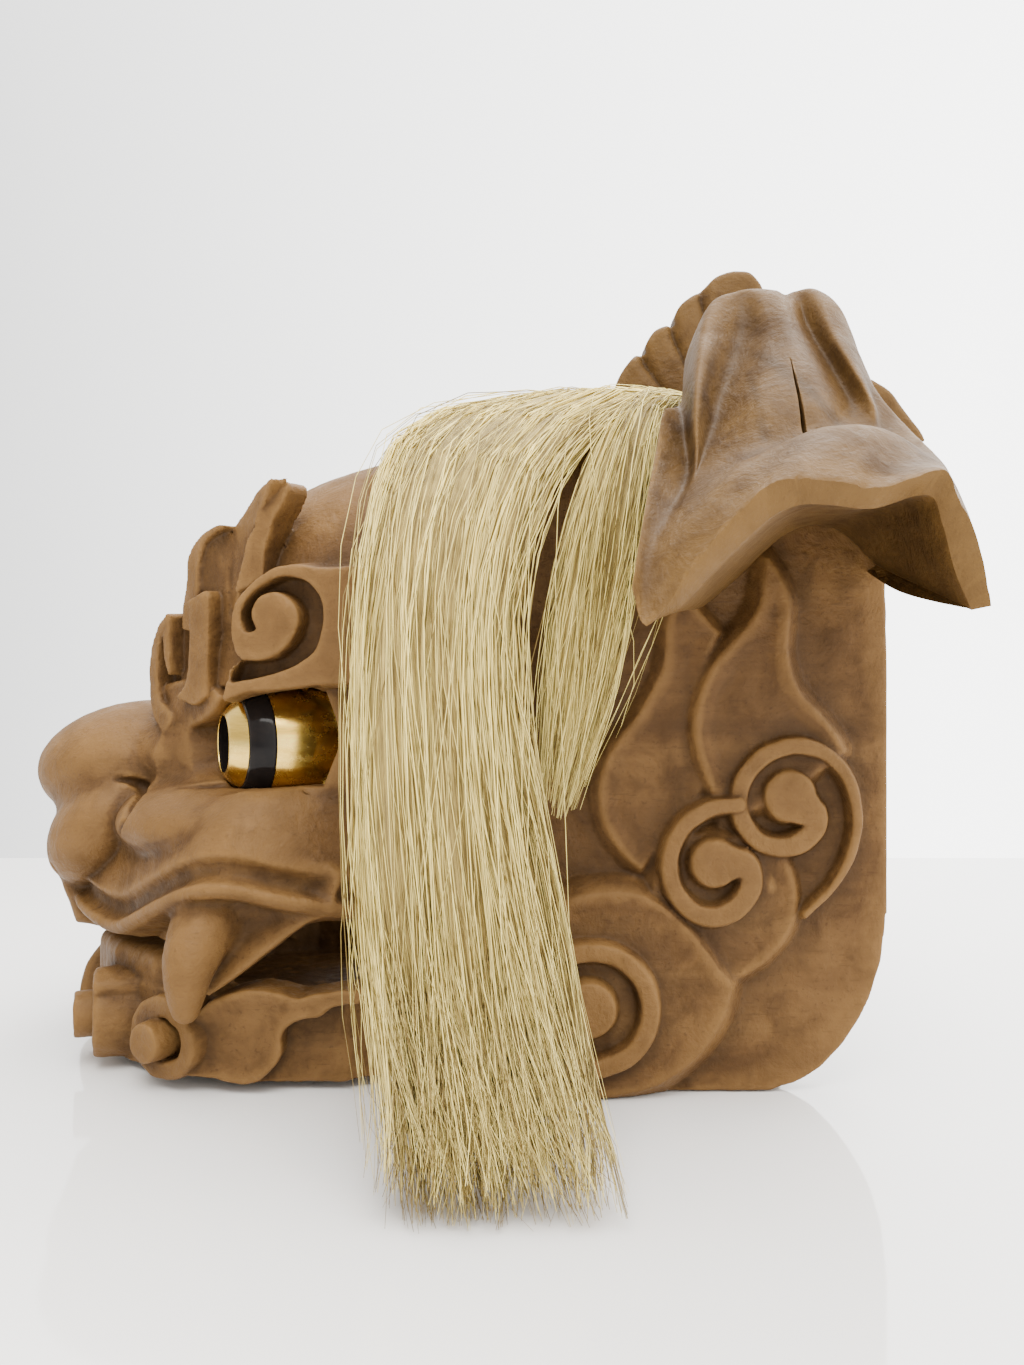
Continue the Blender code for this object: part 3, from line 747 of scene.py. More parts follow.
@dataclass
class Lip(Shape):
    """The flared upper lip: an edge bead, a groove over it and a full face, swept round the muzzle.

    Each station is x, y, the height of the lip's edge, of its top and of the gum's lower edge.
    """

    stations: Points = (
        (0, -163, 52, 74, 42), (24, -162, 51.5, 74, 42), (40, -152, 48, 79, 42), (53, -139, 46.5, 84, 42),
        (66, -129, 51, 88, 44), (80, -115, 59, 93, 50), (90, -101, 65, 96, 56), (94, -87, 66, 98, 58),
        (91, -70, 62, 99, 57), (84, -50, 58, 99, 54), (77, -28, 58, 99, 54),
    )
    profile: Points = (
        (-0.8, 0.0), (0.3, 1.2), (0.5, 2.6), (-0.4, 3.9), (-3.0, 4.8), (-5.0, 6.6), (-4.8, 9.4), (-3.2, 11.4),
        (-2.2, 12.8), (-3.4, 15.5), (-5.4, 19.5), (-8.0, 24.0), (-11.5, 28.0), (-17.0, 31.0),
    )
    inner: Points = (
        (-44, 30), (-44, -18), (-16, -18), (-14.5, -9), (-12, -3.6), (-5, -1.6), (-1.8, -0.8),
    )
    face_start: float = 13.0
    face_end: float = 31.0

    def __post_init__(self) -> None:
        """Smooths the stations and the section."""
        self.path = smooth_line(self.stations, 4)
        self.section = np.vstack([smooth_line(self.profile, 3), np.array(self.inner)])
        self.low = np.array([-1.0, self.path[:, 1].min() - 3.0, 36.0])
        self.high = np.array([self.path[:, 0].max() + 3.0, -24.0, 104.0])

    def value(self, x: Floats, y: Floats, z: Floats) -> Floats:
        """The field at these points, in millimetres."""
        nearest = np.full(x.shape, VERY_FAR)
        station = np.zeros(x.shape)
        outward = np.zeros(x.shape)
        for i, (a, b) in enumerate(zip(self.path[:-1], self.path[1:])):
            dx, dy = b[0] - a[0], b[1] - a[1]
            length = math.hypot(dx, dy)
            t = np.clip(((x - a[0]) * dx + (y - a[1]) * dy) / length**2, 0.0, 1.0)
            ex, ey = x - a[0] - t * dx, y - a[1] - t * dy
            away = np.hypot(ex, ey)
            closer = away < nearest
            nearest = np.where(closer, away, nearest)
            station = np.where(closer, i + t, station)
            outward = np.where(closer, np.sign(ex * dy - ey * dx) * away, outward)
        number = np.arange(len(self.path))
        edge, top, gum = (np.interp(station, number, self.path[:, k]) for k in (2, 3, 4))
        up = z - edge
        stretch = (self.face_end - self.face_start) / (top - edge - self.face_start)
        up = np.where(up > self.face_start, self.face_start + (up - self.face_start) * stretch, up)
        return np.maximum(outline_distance(outward, up, self.section), gum - z)


def volute(hub: Pair, radius: float, path: Points) -> tuple[Floats, Floats]:
    """A scroll's band, run into its round hub.

    Args:
        hub: the hub's middle as y and z.
        radius: the hub's radius.
        path: the band's middle line as y, z and half width, from its tip.

    Returns:
        The line and its half widths.
    """
    line = smooth_line([*path, (hub[0], hub[1], radius)], 5)[:-4]
    line = np.vstack([line, [[hub[0], hub[1], radius], [hub[0] + 0.1, hub[1], radius]]])
    return line[:, :2], line[:, 2]


@dataclass
class PanelRelief:
    """The flame tongues, clouds and scrolls on the flat side of the head."""

    face: float = 78.0
    tongue_height: float = 6.0
    front_tongue_height: float = 3.6
    cloud_heights: Triple = (2.4, 4.8, 7.4)
    scroll_heights: Triple = (7.6, 9.2, 12.0)

    def plate(self, height: float, **drawing: object) -> Plate:
        """One raised form whose top stands this far over the panel."""
        return Plate(Plane(self.face + height), height + 4.0, **drawing)

    def shapes(self) -> list[Shape]:
        """All the raised forms, lowest first."""
        rear_tongue = ring_through(
            [(81.8, 172.5), (86.3, 165.5), (88.6, 157), (87.9, 148), (88.4, 139.4), (91.5, 130.5),
             (97.5, 123.5), (103, 116.8)],
            [(106, 111), (92, 100), (76, 92)],
            [(66, 95), (62, 103), (59.4, 112), (58.8, 120), (60.6, 129.5), (65.5, 139.8), (73, 148),
             (78.6, 155.5), (80.8, 163.5)],
        )
        front_tongue = ring_through(
            [(55, 164), (60.5, 155.5)],
            [(66, 149), (62, 136), (62, 112), (60, 96), (50, 84)],
            [(41.7, 73.4), (37.5, 76.3), (31.6, 83.5), (28.4, 93), (28.6, 102.5), (32.8, 112), (40, 121.5),
             (47, 133.4), (49.6, 143), (50.2, 152)],
        )
        rear_cloud = ring_through(
            [(101, 113.5), (107, 106), (110, 97), (110, 86), (107, 76.5), (101.5, 68)],
            [(93.4, 58.5), (70, 62), (68, 92), (80, 104)],
        )
        middle_cloud = ring_through(
            [(86, 80), (89.6, 72), (91.2, 64), (90.4, 56.5), (86.5, 49.5), (80, 43)],
            [(70.8, 37.1), (48, 46), (46, 70), (58, 84)],
        )
        low_cloud = ring_through(
            [(69.9, 36.4), (67.9, 27.6), (62.5, 18.1), (54.2, 9.8), (44.7, 4.2), (32.8, 1.4)],
            [(20, 0.6), (2, 8), (-4, 30), (8, 58), (34, 66), (52, 58)],
        )
        low, middle, high = self.cloud_heights
        made = [
            self.plate(self.front_tongue_height, outline=front_tongue, slope=0.9, dish=1.1, rim=6),
            self.plate(self.tongue_height, outline=rear_tongue, slope=0.75, dish=1.6, rim=7),
            self.plate(low, outline=rear_cloud, slope=1.0, dish=0.9, rim=6),
            self.plate(middle, outline=middle_cloud, slope=0.8, dish=0.8, rim=7),
            self.plate(high, outline=low_cloud, slope=0.75, dish=0.8, rim=8),
        ]
        rear = volute(
            (88.7, 96.6), 8.0,
            ((93.6, 58.8, 0.7), (103, 68.5, 1.0), (108.8, 80, 1.3), (110.2, 91, 1.5), (107.4, 102, 1.7),
             (101, 109.6, 2.0), (91, 112.8, 2.4), (80.5, 109.5, 2.5), (73.6, 101.5, 2.5), (72.6, 91.5, 2.5),
             (77.5, 83.2, 2.5), (86, 80.2, 2.7), (93.8, 83, 3.1), (97, 89.5, 3.6)),
        )
        front = volute(
            (64.4, 75.4), 7.3,
            ((72, 94.2, 2.1), (62.5, 92.6, 2.2), (54.4, 86.8, 2.3), (50.2, 77.5, 2.4), (51.4, 67.5, 2.5),
             (57.2, 60.4, 2.7), (65, 58.4, 2.9), (72, 61.8, 3.1), (75.8, 68.4, 3.3), (74.2, 75, 3.6)),
        )
        lowest = volute(
            (24, 29.5), 8.6,
            ((4, 12, 1.8), (13, 10.5, 2.2), (26, 10.6, 2.6), (38, 15.8, 2.6), (43.4, 26, 2.6),
             (42, 37.5, 2.6), (33.4, 46, 2.6), (21, 47.4, 2.6), (10.6, 41.6, 2.7), (7.2, 31, 3.0),
             (12.5, 23.5, 3.4)),
        )
        for height, (line, halves) in zip(self.scroll_heights, (rear, front, lowest)):
            made.append(self.plate(height, line=line, halves=halves, slope=0.28, edge=0.9))
        return made


@dataclass
class Brow:
    """One brow: a thin lid under a side scroll, a tall two-faced leaf and three curls towards the nose."""

    mass: Triple = (25.0, -92.0, 150.0)
    face: float = 80.0

    def leaf(self, plane: Plane, depth: float, *stretches: Points, **more: float) -> Plate:
        """A plate on a plane with an outline drawn from the side."""
        return Plate(plane, depth, outline=ring_through(*stretches), **more)

    def curl(self, plane: Plane, edge: float, *points: Triple) -> Plate:
        """A raised stroke on a plane through points of y, z and half width, drawn from the side."""
        line = smooth_line(points, 4)
        return Plate(plane, 24, line=line[:, :2], halves=line[:, 2], slope=0.05, edge=edge)

    def scroll(self, carving: Carving) -> None:
        """The flat side over the lid with its spiral channel round a hub."""
        plane = Plane(self.face, -78, 79)
        block = self.leaf(
            plane, 17,
            [(-94.5, 127.2), (-91.5, 128.2), (-85.4, 130.1), (-77.9, 130.5), (-61.8, 132.1)],
            [(-36, 133), (-36, 169), (-50, 170)],
            [(-58, 169.6), (-64, 169.9), (-69.8, 170.9), (-76.3, 170.2), (-81.1, 167.8), (-85.9, 164),
             (-90.2, 158.7), (-91.4, 153.3), (-91.3, 147.9), (-89.9, 142.6)],
            [(-88.1, 141.1), (-92, 137)],
            slope=0.14, edge=0.7,
        )
        carving.add(block, fillet=1.2)
        outer = [(-83.5, 150.1), (-87, 149), (-89.0, 151.5), (-89.3, 156.5), (-85.9, 161.9), (-80.6, 165.6),
                 (-75.2, 167.7), (-69.8, 167.1), (-65.6, 164.8), (-62.3, 160.8), (-61.1, 155.4),
                 (-61.5, 150.5), (-63.4, 144.2), (-67.7, 139.9), (-75.2, 136.4), (-83.8, 134.1)]
        inner = [(-93, 135), (-91.5, 139.5), (-88.6, 140.6), (-83.5, 140.4), (-78, 141.8), (-74.2, 144.6),
                 (-71.3, 148.2), (-69.9, 152.4), (-70.4, 156.5), (-73.1, 160), (-77.6, 162), (-82.2, 160.8),
                 (-84.7, 157.6), (-85.1, 154.4)]
        channel = ring_through(outer, [(-91.8, 132.7), (-93.4, 133.2)], inner)
        deep = Plane(self.face + 4, -78, 79)
        carving.take(Plate(deep, 12.5, outline=channel, slope=-0.06), fillet=0.8)

    def carve(self, carving: Carving) -> None:
        """Adds the brow to the carving, from the back to the front."""
        gap = self.leaf(
            Plane(84, -75, 84), 17,
            [(-67, 199), (-71, 189), (-73.4, 181)],
            [(-74.6, 170), (-88, 168), (-90, 186), (-80, 199)],
        )
        carving.take(gap, fillet=1.5)
        carving.add(Ball(self.mass, (25, 18, 25)), fillet=4.0)
        core = self.leaf(
            Plane(51, -84, 72), 26,
            [(-96, 128), (-93, 150), (-91.6, 168.6)],
            [(-84, 174), (-70, 172), (-60, 150)],
            [(-60, 130), (-80, 128)],
            edge=2.0,
        )
        carving.add(core, fillet=3.0)
        side = self.leaf(
            Plane(69.0, -84, 72), 13,
            [(-77.9, 199.1), (-74.9, 199.4), (-74.3, 196.4), (-76.5, 191.4), (-79.3, 187), (-81, 181.4),
             (-82.4, 176.4)],
            [(-83, 168), (-92.7, 163), (-91.6, 168.6), (-90.5, 173), (-89.4, 178), (-88.3, 181.4),
             (-86, 184.7), (-85.7, 187), (-83.8, 190.9), (-81, 195.9)],
            slope=0.05, edge=0.5,
        )
        front = self.leaf(
            Plane(62.5, -90, 40), 6,
            [(-77.9, 200.2), (-82.5, 198.2), (-86.5, 195.4), (-89.9, 191.7), (-93.9, 188.6)],
            [(-96.2, 185.4), (-99, 181.2), (-101.8, 174.9), (-104.1, 169.3)],
            [(-106.4, 161), (-96, 158), (-92.5, 165.9), (-88.0, 181.4), (-83.0, 191)],
            edge=0.6,
        )
        carving.add(front, side, fillet=0.5)
        second = self.leaf(
            Plane(51, -108, 46), 24,
            [(-98.1, 186.5), (-101, 186.9), (-105.6, 185.9), (-110.2, 183.6), (-113.7, 179.8), (-115.2, 176),
             (-115.4, 171.1), (-116, 167.1), (-117.2, 161.3)],
            [(-118, 152), (-112, 152), (-110.2, 164.2), (-110.2, 169.9), (-109.9, 173.4), (-108.5, 179.8),
             (-105.6, 183.3)],
            edge=0.6,
        )
        second_web = self.leaf(
            Plane(50.5, -104, 58), 22,
            [(-98.1, 186.5), (-106, 182), (-110, 172)],
            [(-111, 152), (-98, 152), (-98, 170), (-96, 180)],
        )
        carving.add(second_web, second, fillet=0.7)
        near = self.leaf(
            Plane(55, -108, 55), 26,
            [(-113.7, 161.3), (-109.1, 163.3), (-105.6, 164.5)],
            [(-104.4, 162.4), (-104.4, 152.6), (-104.7, 138.1)],
            [(-105, 128.3), (-110.2, 125.1), (-114.3, 126.2)],
            [(-118.1, 127.7), (-114.3, 132.9), (-112.8, 141), (-112.4, 149.7), (-112.5, 158.4)],
            slope=0.05, edge=0.7,
        )
        front_curl = self.curl(
            Plane(40, -124, 46), 0.7,
            (-123.9, 156.2, 1.2), (-127, 152.4, 1.9), (-129.8, 146, 2.4), (-130.7, 139.6, 2.7),
            (-130.6, 132.4, 2.9), (-129, 124.6, 3.2), (-124, 120, 3.4),
        )
        inner_curl = self.curl(
            Plane(42, -121, 50), 0.6,
            (-123.6, 156.4, 1.3), (-124.3, 152.6, 1.8), (-124.6, 147.4, 1.8), (-124, 141.4, 1.3),
            (-123.0, 136, 0.3),
        )
        floor = self.leaf(
            Plane(33, -121, 46), 20,
            [(-118, 158), (-128, 148), (-129.5, 136)],
            [(-125, 122), (-108, 120), (-108, 140), (-112, 158)],
        )
        under = self.leaf(
            Plane(42, -118, 46), 26,
            [(-131, 128), (-129.4, 122.8), (-126, 119), (-118.6, 116.4), (-110, 118.5), (-103.6, 122.3)],
            [(-100, 128), (-108, 134), (-125, 133)],
            edge=2.0,
        )
        carving.add(floor, under, front_curl, inner_curl, near, fillet=0.5)
        self.scroll(carving)
        rim = Rod(
            ((73, -92, 128.6, 0.9), (76, -82, 130.8, 1.3), (77.5, -66, 132.2, 1.2),
             (78, -50, 133.2, 1.2)),
        )
        carving.add(rim, fillet=1.0)


@dataclass
class Snout:
    """The bulb of the nose on its bridge, with a wing over each nostril, the muzzle and the cheeks."""

    def carve(self, carving: Carving) -> None:
        """Adds the snout and the lip to the carving."""
        carving.add(Ball((0, -108, 106), (45, 46, 21)), fillet=7.0)
        carving.add(Ball((0, -126, 80), (46, 30, 23)), fillet=5.0)
        carving.add(Ball((40, -90, 84), (42, 50, 17)), fillet=8.0)
        carving.add(Lip(), fillet=3.0)
        nose = Carving()
        nose.add(Ball((0, -144, 102), (38, 39.5, 24), tilt=6))
        nose.add(Ball((12, -149.5, 81), (36, 29, 19), tilt=45), fillet=7.0)
        carving.add(Inner(nose, (0, -186, 40), (50, -100, 130)), fillet=1.2)
        front = ring_through(
            [(-158, 72), (-169.5, 66), (-168.6, 58)],
            [(-163.4, 43), (-146, 42), (-136, 56)],
        )
        carving.add(Plate(Plane(24), 30, outline=front, edge=5.0), fillet=2.0)
        crease = laid_on(carving, (
            (-141.5, 98.2, 0.7, 0.2), (-136.5, 97.2, 1.6, 0.6), (-132.3, 94.8, 2.3, 0.9),
            (-130.4, 90.5, 2.2, 0.9), (-131.6, 86.0, 1.4, 0.5), (-134.5, 81.5, 0.5, 0.1),
        ))
        carving.take(Rod(crease), fillet=1.4)
        hole = laid_on(carving, ((-168.5, 68, 0.3, 0.0), (-166.8, 66.3, 1.0, 0.2), (-165.6, 64.2, 0.4, 0.0)))
        carving.take(Rod(hole), fillet=0.6)


@dataclass
class HeadCarving:
    """The head in one hollow piece of wood: skull, brows, snout, lip, fangs and side panels."""

    wall: float = 12.0
    panel_face: float = 78.0
    skull_width: float = 77.2
    shoulder_fullness: float = 5.0
    hinge: Pair = (25.0, 32.0)
    socket_radius: float = 7.0
    socket_end: float = 72.0
    socket_start: float = 54.0
    eye_bore: float = 20.5
    bore_start: float = 12.0
    bore_length: float = 66.0
    pitch: float = 1.0
    most_triangles: int = 196000

    def panel(self) -> Meeting:
        """The flat board with its rounded lower rear corner."""
        front = [(-48, 150), (-48, 44), (-42, 38), (-14, 38), (-9, 30), (-6, 14), (2, 4), (14, 0)]
        corner = smooth_line([(84, 0), (98, 6), (111, 20), (119, 38), (122, 57)], 5)
        outline = np.vstack([front, corner, [(122, 222), (-48, 222)]])
        board = Plate(Plane(self.panel_face), self.wall, outline=outline, edge=0.7)
        grow = self.panel_face - self.skull_width
        shoulder = Skull(inset=-grow, start=-50.0, bottom=-9.0, fullness=self.shoulder_fullness)
        return Meeting(board, shoulder, 2.0)

    def fang(self) -> list[Shape]:
        """The fang with the two gum folds that run up behind it."""
        web = outline_through(
            [(-104, 68), (-103, 44), (-99, 31)], [(-99, 31), (-90, 37.2), (-80, 45.2), (-70, 53), (-58, 61)],
            [(-58, 61), (-58, 74), (-104, 74)],
        )
        return [
            Plate(Plane(81, -90, 82), 16, outline=web, dish=2.6, rim=9, edge=1.4),
            Rod(((70, -98.0, 59, 13.5), (77.5, -99.6, 54.5, 11.2), (84.5, -102.4, 45, 8.9),
                 (87, -103.3, 36, 6.6), (88, -103.2, 29.6, 4.5))),
        ]

    def carving(self) -> Carving:
        """The whole head as carving steps."""
        made = Carving(waves=(0.15, 9.0))
        made.add(Skull())
        recess = outline_through(
            [(-150, 97), (-100, 97), (-62, 99)],
            [(-62, 99), (-57, 115), (-62, 132)],
            [(-62, 132), (-84, 129), (-99, 125), (-150, 118)],
        )
        made.take(Plate(Plane(110), 52, outline=recess), fillet=1.5)
        eye = EyeAxis()
        turn, back = math.radians(eye.heading), self.bore_start
        start = (eye.rim[0] - back * math.sin(turn), eye.rim[1] + back * math.cos(turn), eye.rim[2])
        made.take(Turned(start, eye.heading, self.eye_bore, self.bore_length), fillet=1.0)
        Brow().carve(made)
        Snout().carve(made)
        made.take(Plate(Plane(112), 54, outline=recess, edge=0.1), fillet=0.6)
        made.add(*self.fang(), fillet=3.4)
        made.add(self.panel(), fillet=0.8)
        made.add(*PanelRelief(self.panel_face).shapes(), fillet=0.5)
        made.take(Skull(inset=self.wall, start=-96.0, end=150.0, bottom=-30.0), fillet=3.0)
        mouth = [(-30, -20), (-30, -145), (0, -145), (28, -141), (51, -127), (66, -100), (66, -20)]
        made.take(Slab(mouth, -60.0, 72.0, edge=6.0), fillet=2.0)
        made.add(Block((44, -97, 93), (58, -54, 136)), fillet=2.0)
        made.take(EyeSeat())
        length = self.socket_end - self.socket_start
        made.take(Turned((self.socket_start, *self.hinge), 90.0, self.socket_radius, length))
        made.stand()
        return made

    def build(self) -> Piece:
        """The head as a mesh."""
        points, quads = carved_mesh(self.carving(), (-104, -188, -4), (104, 128, 236), self.pitch)
        made = mesh_of("head_carving", metres(points), quads)
        return mark_hollows(thinned(made, self.most_triangles))


@dataclass
class EyeAxis:
    """The eye's place and direction: from the middle of the pupil's rim, backwards and inwards."""

    rim: Triple = (60.0, -98.5, 112.0)
    heading: float = 25.0
    radius: float = 21.5
    pupil: float = 10.4
    stretch: float = 1.25
    tail: float = 22.0

    def split(self, x: Floats, y: Floats, z: Floats) -> tuple[Floats, Floats]:
        """How far behind the rim, and how far from the axis, these points are."""
        turn = math.radians(self.heading)
        back = (y - self.rim[1]) * math.cos(turn) - (x - self.rim[0]) * math.sin(turn)
        aside = (x - self.rim[0]) * math.cos(turn) + (y - self.rim[1]) * math.sin(turn)
        return back, np.hypot(aside, z - self.rim[2])

    def widest(self) -> float:
        """How far behind the pupil's rim the eye is widest."""
        return self.stretch * self.radius * math.sqrt(1 - (self.pupil / self.radius) ** 2)


@dataclass
class EyeSeat(Shape):
    """What the head leaves free for the eye and for the sight line behind it."""

    axis: EyeAxis = field(default_factory=EyeAxis)
    gap: float = 0.3
    sight: float = 19.0
    depth: float = 50.0
    front_middle: float = 4.0
    front_half: float = 12.0

    def __post_init__(self) -> None:
        """Works out the box around the seat."""
        self.low = np.array(self.axis.rim) - np.array([60, 20, 24])
        self.high = np.array(self.axis.rim) + np.array([30, 90, 24])

    def value(self, x: Floats, y: Floats, z: Floats) -> Floats:
        """The field at these points, in millimetres."""
        eye = self.axis
        back, across = eye.split(x, y, z)
        widest = eye.widest()
        end = widest + eye.tail + 2 * self.gap
        behind = np.minimum(back - widest, 0.0) / eye.stretch
        ball = np.hypot(across, behind) - (eye.radius + self.gap)
        shell = np.maximum(ball, back - end)
        sight = np.maximum(across - self.sight, np.abs(back - end - self.depth / 2) - self.depth / 2)
        front = np.maximum(across - eye.pupil, np.abs(back + self.front_middle) - self.front_half)
        return np.minimum.reduce([shell, sight, front])


@dataclass
class JawCarving:
    """The lower jaw: a tray with a gum ridge, beard curls and a leaf outside it, and two arms."""

    arm_face: float = 65.0
    arm_inner: float = 53.0
    rim_top: float = 30.0
    hinge: Pair = (25.0, 32.0)
    pin_radius: float = 6.5
    pin_end: float = 71.5
    pin_root: float = 59.0
    boss_radius: float = 12.0
    boss_root: float = 52.5
    curl_points: int = 26
    pitch: float = 0.8
    most_triangles: int = 84000

    def curl(self, plane: Plane, centre: Pair, radii: Pair, hub: float,
             band: float, depth: float, stub: float, shift: float = -0.5) -> list[Shape]:
        """A ring with a sunk floor and a hub that stands out of it.

        Args:
            plane: the plane of the ring's face.
            centre: the ring's middle as y and z, drawn from the side.
            radii: the ring's middle line's half width and half height, drawn from the side.
            hub: the hub's radius.
            band: half the ring's width.
            depth: how deep the ring's floor lies.
            stub: how far the hub stands in front of the ring.
            shift: how far the hub lies off the ring's middle along Y.

        Returns:
            The ring, its floor and its hub.
        """
        angle = np.radians(np.linspace(55, 425, self.curl_points))
        fade = np.linspace(1.0, 0.86, self.curl_points)
        aside, up = np.cos(angle), np.sin(angle)
        line = np.stack([centre[0] + radii[0] * fade * aside, centre[1] + radii[1] * fade * up], 1)
        halves = band * np.linspace(1.15, 0.8, self.curl_points)
        turn = math.radians(plane.heading)
        hub_y = centre[0] + shift + hub * math.sin(turn) * aside[:-1]
        round_hub = np.stack([hub_y, centre[1] + hub * up[:-1]], 1)
        shifted = round_hub - np.array([stub * math.cos(turn), 0.0])
        floor = line + np.array([depth * math.cos(turn), 0.0])
        return [
            Plate(plane, 26.0, line=line, halves=halves, slope=0.06, edge=1.6),
            Plate(plane.forward(-depth), 14.0, outline=floor[:-2]),
            Plate(plane.forward(stub), 20.0 + stub, outline=shifted, slope=0.05, edge=1.0),
        ]

    def carving(self) -> Carving:
        """The whole jaw as carving steps."""
        outer = [(-30, -151), (0, -151), (28, -148), (52, -134), (68, -112), (75, -86), (75, -54),
                 (self.arm_face, -20)]
        inner = [(self.arm_inner, -10), (60, -54), (61, -86), (54, -106), (40, -122), (22, -133), (0, -136),
                 (-30, -136)]
        arms = [(self.arm_face, 24), (self.arm_inner, 24)]
        made = Carving(waves=(0.22, 8.0))
        made.add(Slab([*outer, *arms, *inner], 3.0, self.rim_top))
        made.add(Slab([*outer[:-1], (68, -48), (-30, -48)], 3.0, 13.0), fillet=3.0)
        gum = [(-30, -157), (0, -157), (22, -154), (44, -141), (60, -122), (66, -104), (60, -96), (52, -98),
               (38, -118), (20, -129), (0, -132), (-30, -132)]
        made.add(Slab(gum, 22.0, 41.4, edge=6.0), fillet=2.0)
        leaf = ring_through(
            [(-104, 24), (-97, 30), (-86, 33.4), (-76.7, 33.1), (-70, 31.4), (-64, 32.7), (-56, 34)],
            [(-48, 34.6), (-48, 31), (-57, 29), (-61.6, 25.8), (-67.5, 24.8), (-72.8, 21.8), (-74.4, 18.5),
             (-74.4, 13.9), (-76.7, 9.3), (-80, 6)],
            [(-82.7, 3.7), (-88, 3.0), (-96, 4.4), (-108, 7)],
        )
        made.add(Plate(Plane(80, -90, 83), 16, outline=leaf, dish=1.2, rim=7, edge=1.2), fillet=0.6)
        tuft = outline_through(
            [(-158, 0.5), (-165, 6), (-166, 16), (-163, 26), (-157, 34)],
            [(-157, 34), (-140, 34), (-140, 0.5)],
        )
        made.add(Plate(Plane(13), 30, outline=tuft, edge=4.0), fillet=1.0)
        front = self.curl(Plane(50, -146, 17), (-146, 17.2), (3.6, 12.8), 7.8, 3.0, 7.0, 6.6)
        made.add(*front, fillet=0.5)
        side = self.curl(Plane(76, -114.5, 58), (-114.8, 15.9), (11.0, 10.9), 6.4, 3.2, 9.5, 5.6, -2.2)
        made.add(*side, fillet=0.5)
        shoulder = ring_through([(-12, 4), (18, 22), (24, 43.5), (2, 34), (-12, 29.5)], steps=2)
        made.add(Plate(Plane(self.arm_face), 12.2, outline=shoulder))
        boss, pin = self.arm_face - self.boss_root, self.pin_end + 0.5 - self.pin_root
        made.add(Turned((self.boss_root, *self.hinge), 90.0, self.boss_radius, boss))
        made.add(Turned((self.pin_root, *self.hinge), 90.0, self.pin_radius, pin))
        made.stand()
        return made

    def build(self) -> Piece:
        """The jaw as a mesh."""
        points, quads = carved_mesh(self.carving(), (-94, -170, -3), (94, 42, 50), self.pitch)
        return mark_hollows(thinned(mesh_of("jaw_carving", metres(points), quads), self.most_triangles))


@dataclass
class CrestCarving:
    """The upright scalloped leaf on the crown, with grooves that spread from its foot."""

    thickness: float = 17.0
    foot: Pair = (88.0, 205.0)
    groove_depth: float = 3.4
    bend: float = 1.6
    notches: Points = (
        (39, 243, 22), (50, 261, 26), (62, 272.4, 28), (74, 286, 44), (99, 282, 30), (110, 275, 28),
        (122, 266, 26), (137, 253, 24),
    )
    pitch: float = 0.8
    most_triangles: int = 32000

    def carving(self) -> Carving:
        """The crest as carving steps."""
        outline = ring_through(
            [(26, 208), (26.4, 216), (29, 228), (34.5, 240.5)],
            [(38, 243), (40.5, 242), (40.2, 248), (43, 254)],
            [(48, 260), (51.5, 260.6), (51.8, 264), (55, 269)],
            [(60, 271.6), (62.8, 271.8), (63, 275), (66, 280)],
            [(72, 284), (75, 286.5), (80, 290.6), (87, 292.2), (92.5, 291.4), (97, 286)],
            [(99, 281), (106, 280)], [(109, 274), (117, 272)],
            [(121, 265), (131, 261)],
            [(136, 252), (146, 246), (152, 238), (160, 226), (157, 214)],
            [(150, 205), (90, 200)],
        )
        made = Carving(waves=(0.12, 8.0))
        made.add(Plate(Plane(self.thickness / 2), 30, outline=outline, edge=2.4))
        foot = np.array(self.foot)
        for y, z, length in self.notches:
            tip = np.array([y, z], float)
            way = (tip - foot) / np.linalg.norm(tip - foot)
            bend = np.array([-way[1], way[0]]) * self.bend
            inner = tip - way * length
            line = np.array([inner, tip - way * length * 0.6 + bend, tip - way * 5 + bend, tip + way * 3])
            halves = np.array([0.05, 1.6, 3.0, 3.6])
            made.take(Groove(Plane(self.thickness / 2), line, halves, self.groove_depth), fillet=1.6)
        made.take(Skull(inset=-0.3, end=400.0, bottom=-100.0))
        return made

    def build(self) -> Piece:
        """The crest as a mesh."""
        points, quads = carved_mesh(self.carving(), (-12, 20, 196), (12, 168, 300), self.pitch)
        return mark_hollows(thinned(mesh_of("crest_carving", metres(points), quads), self.most_triangles))


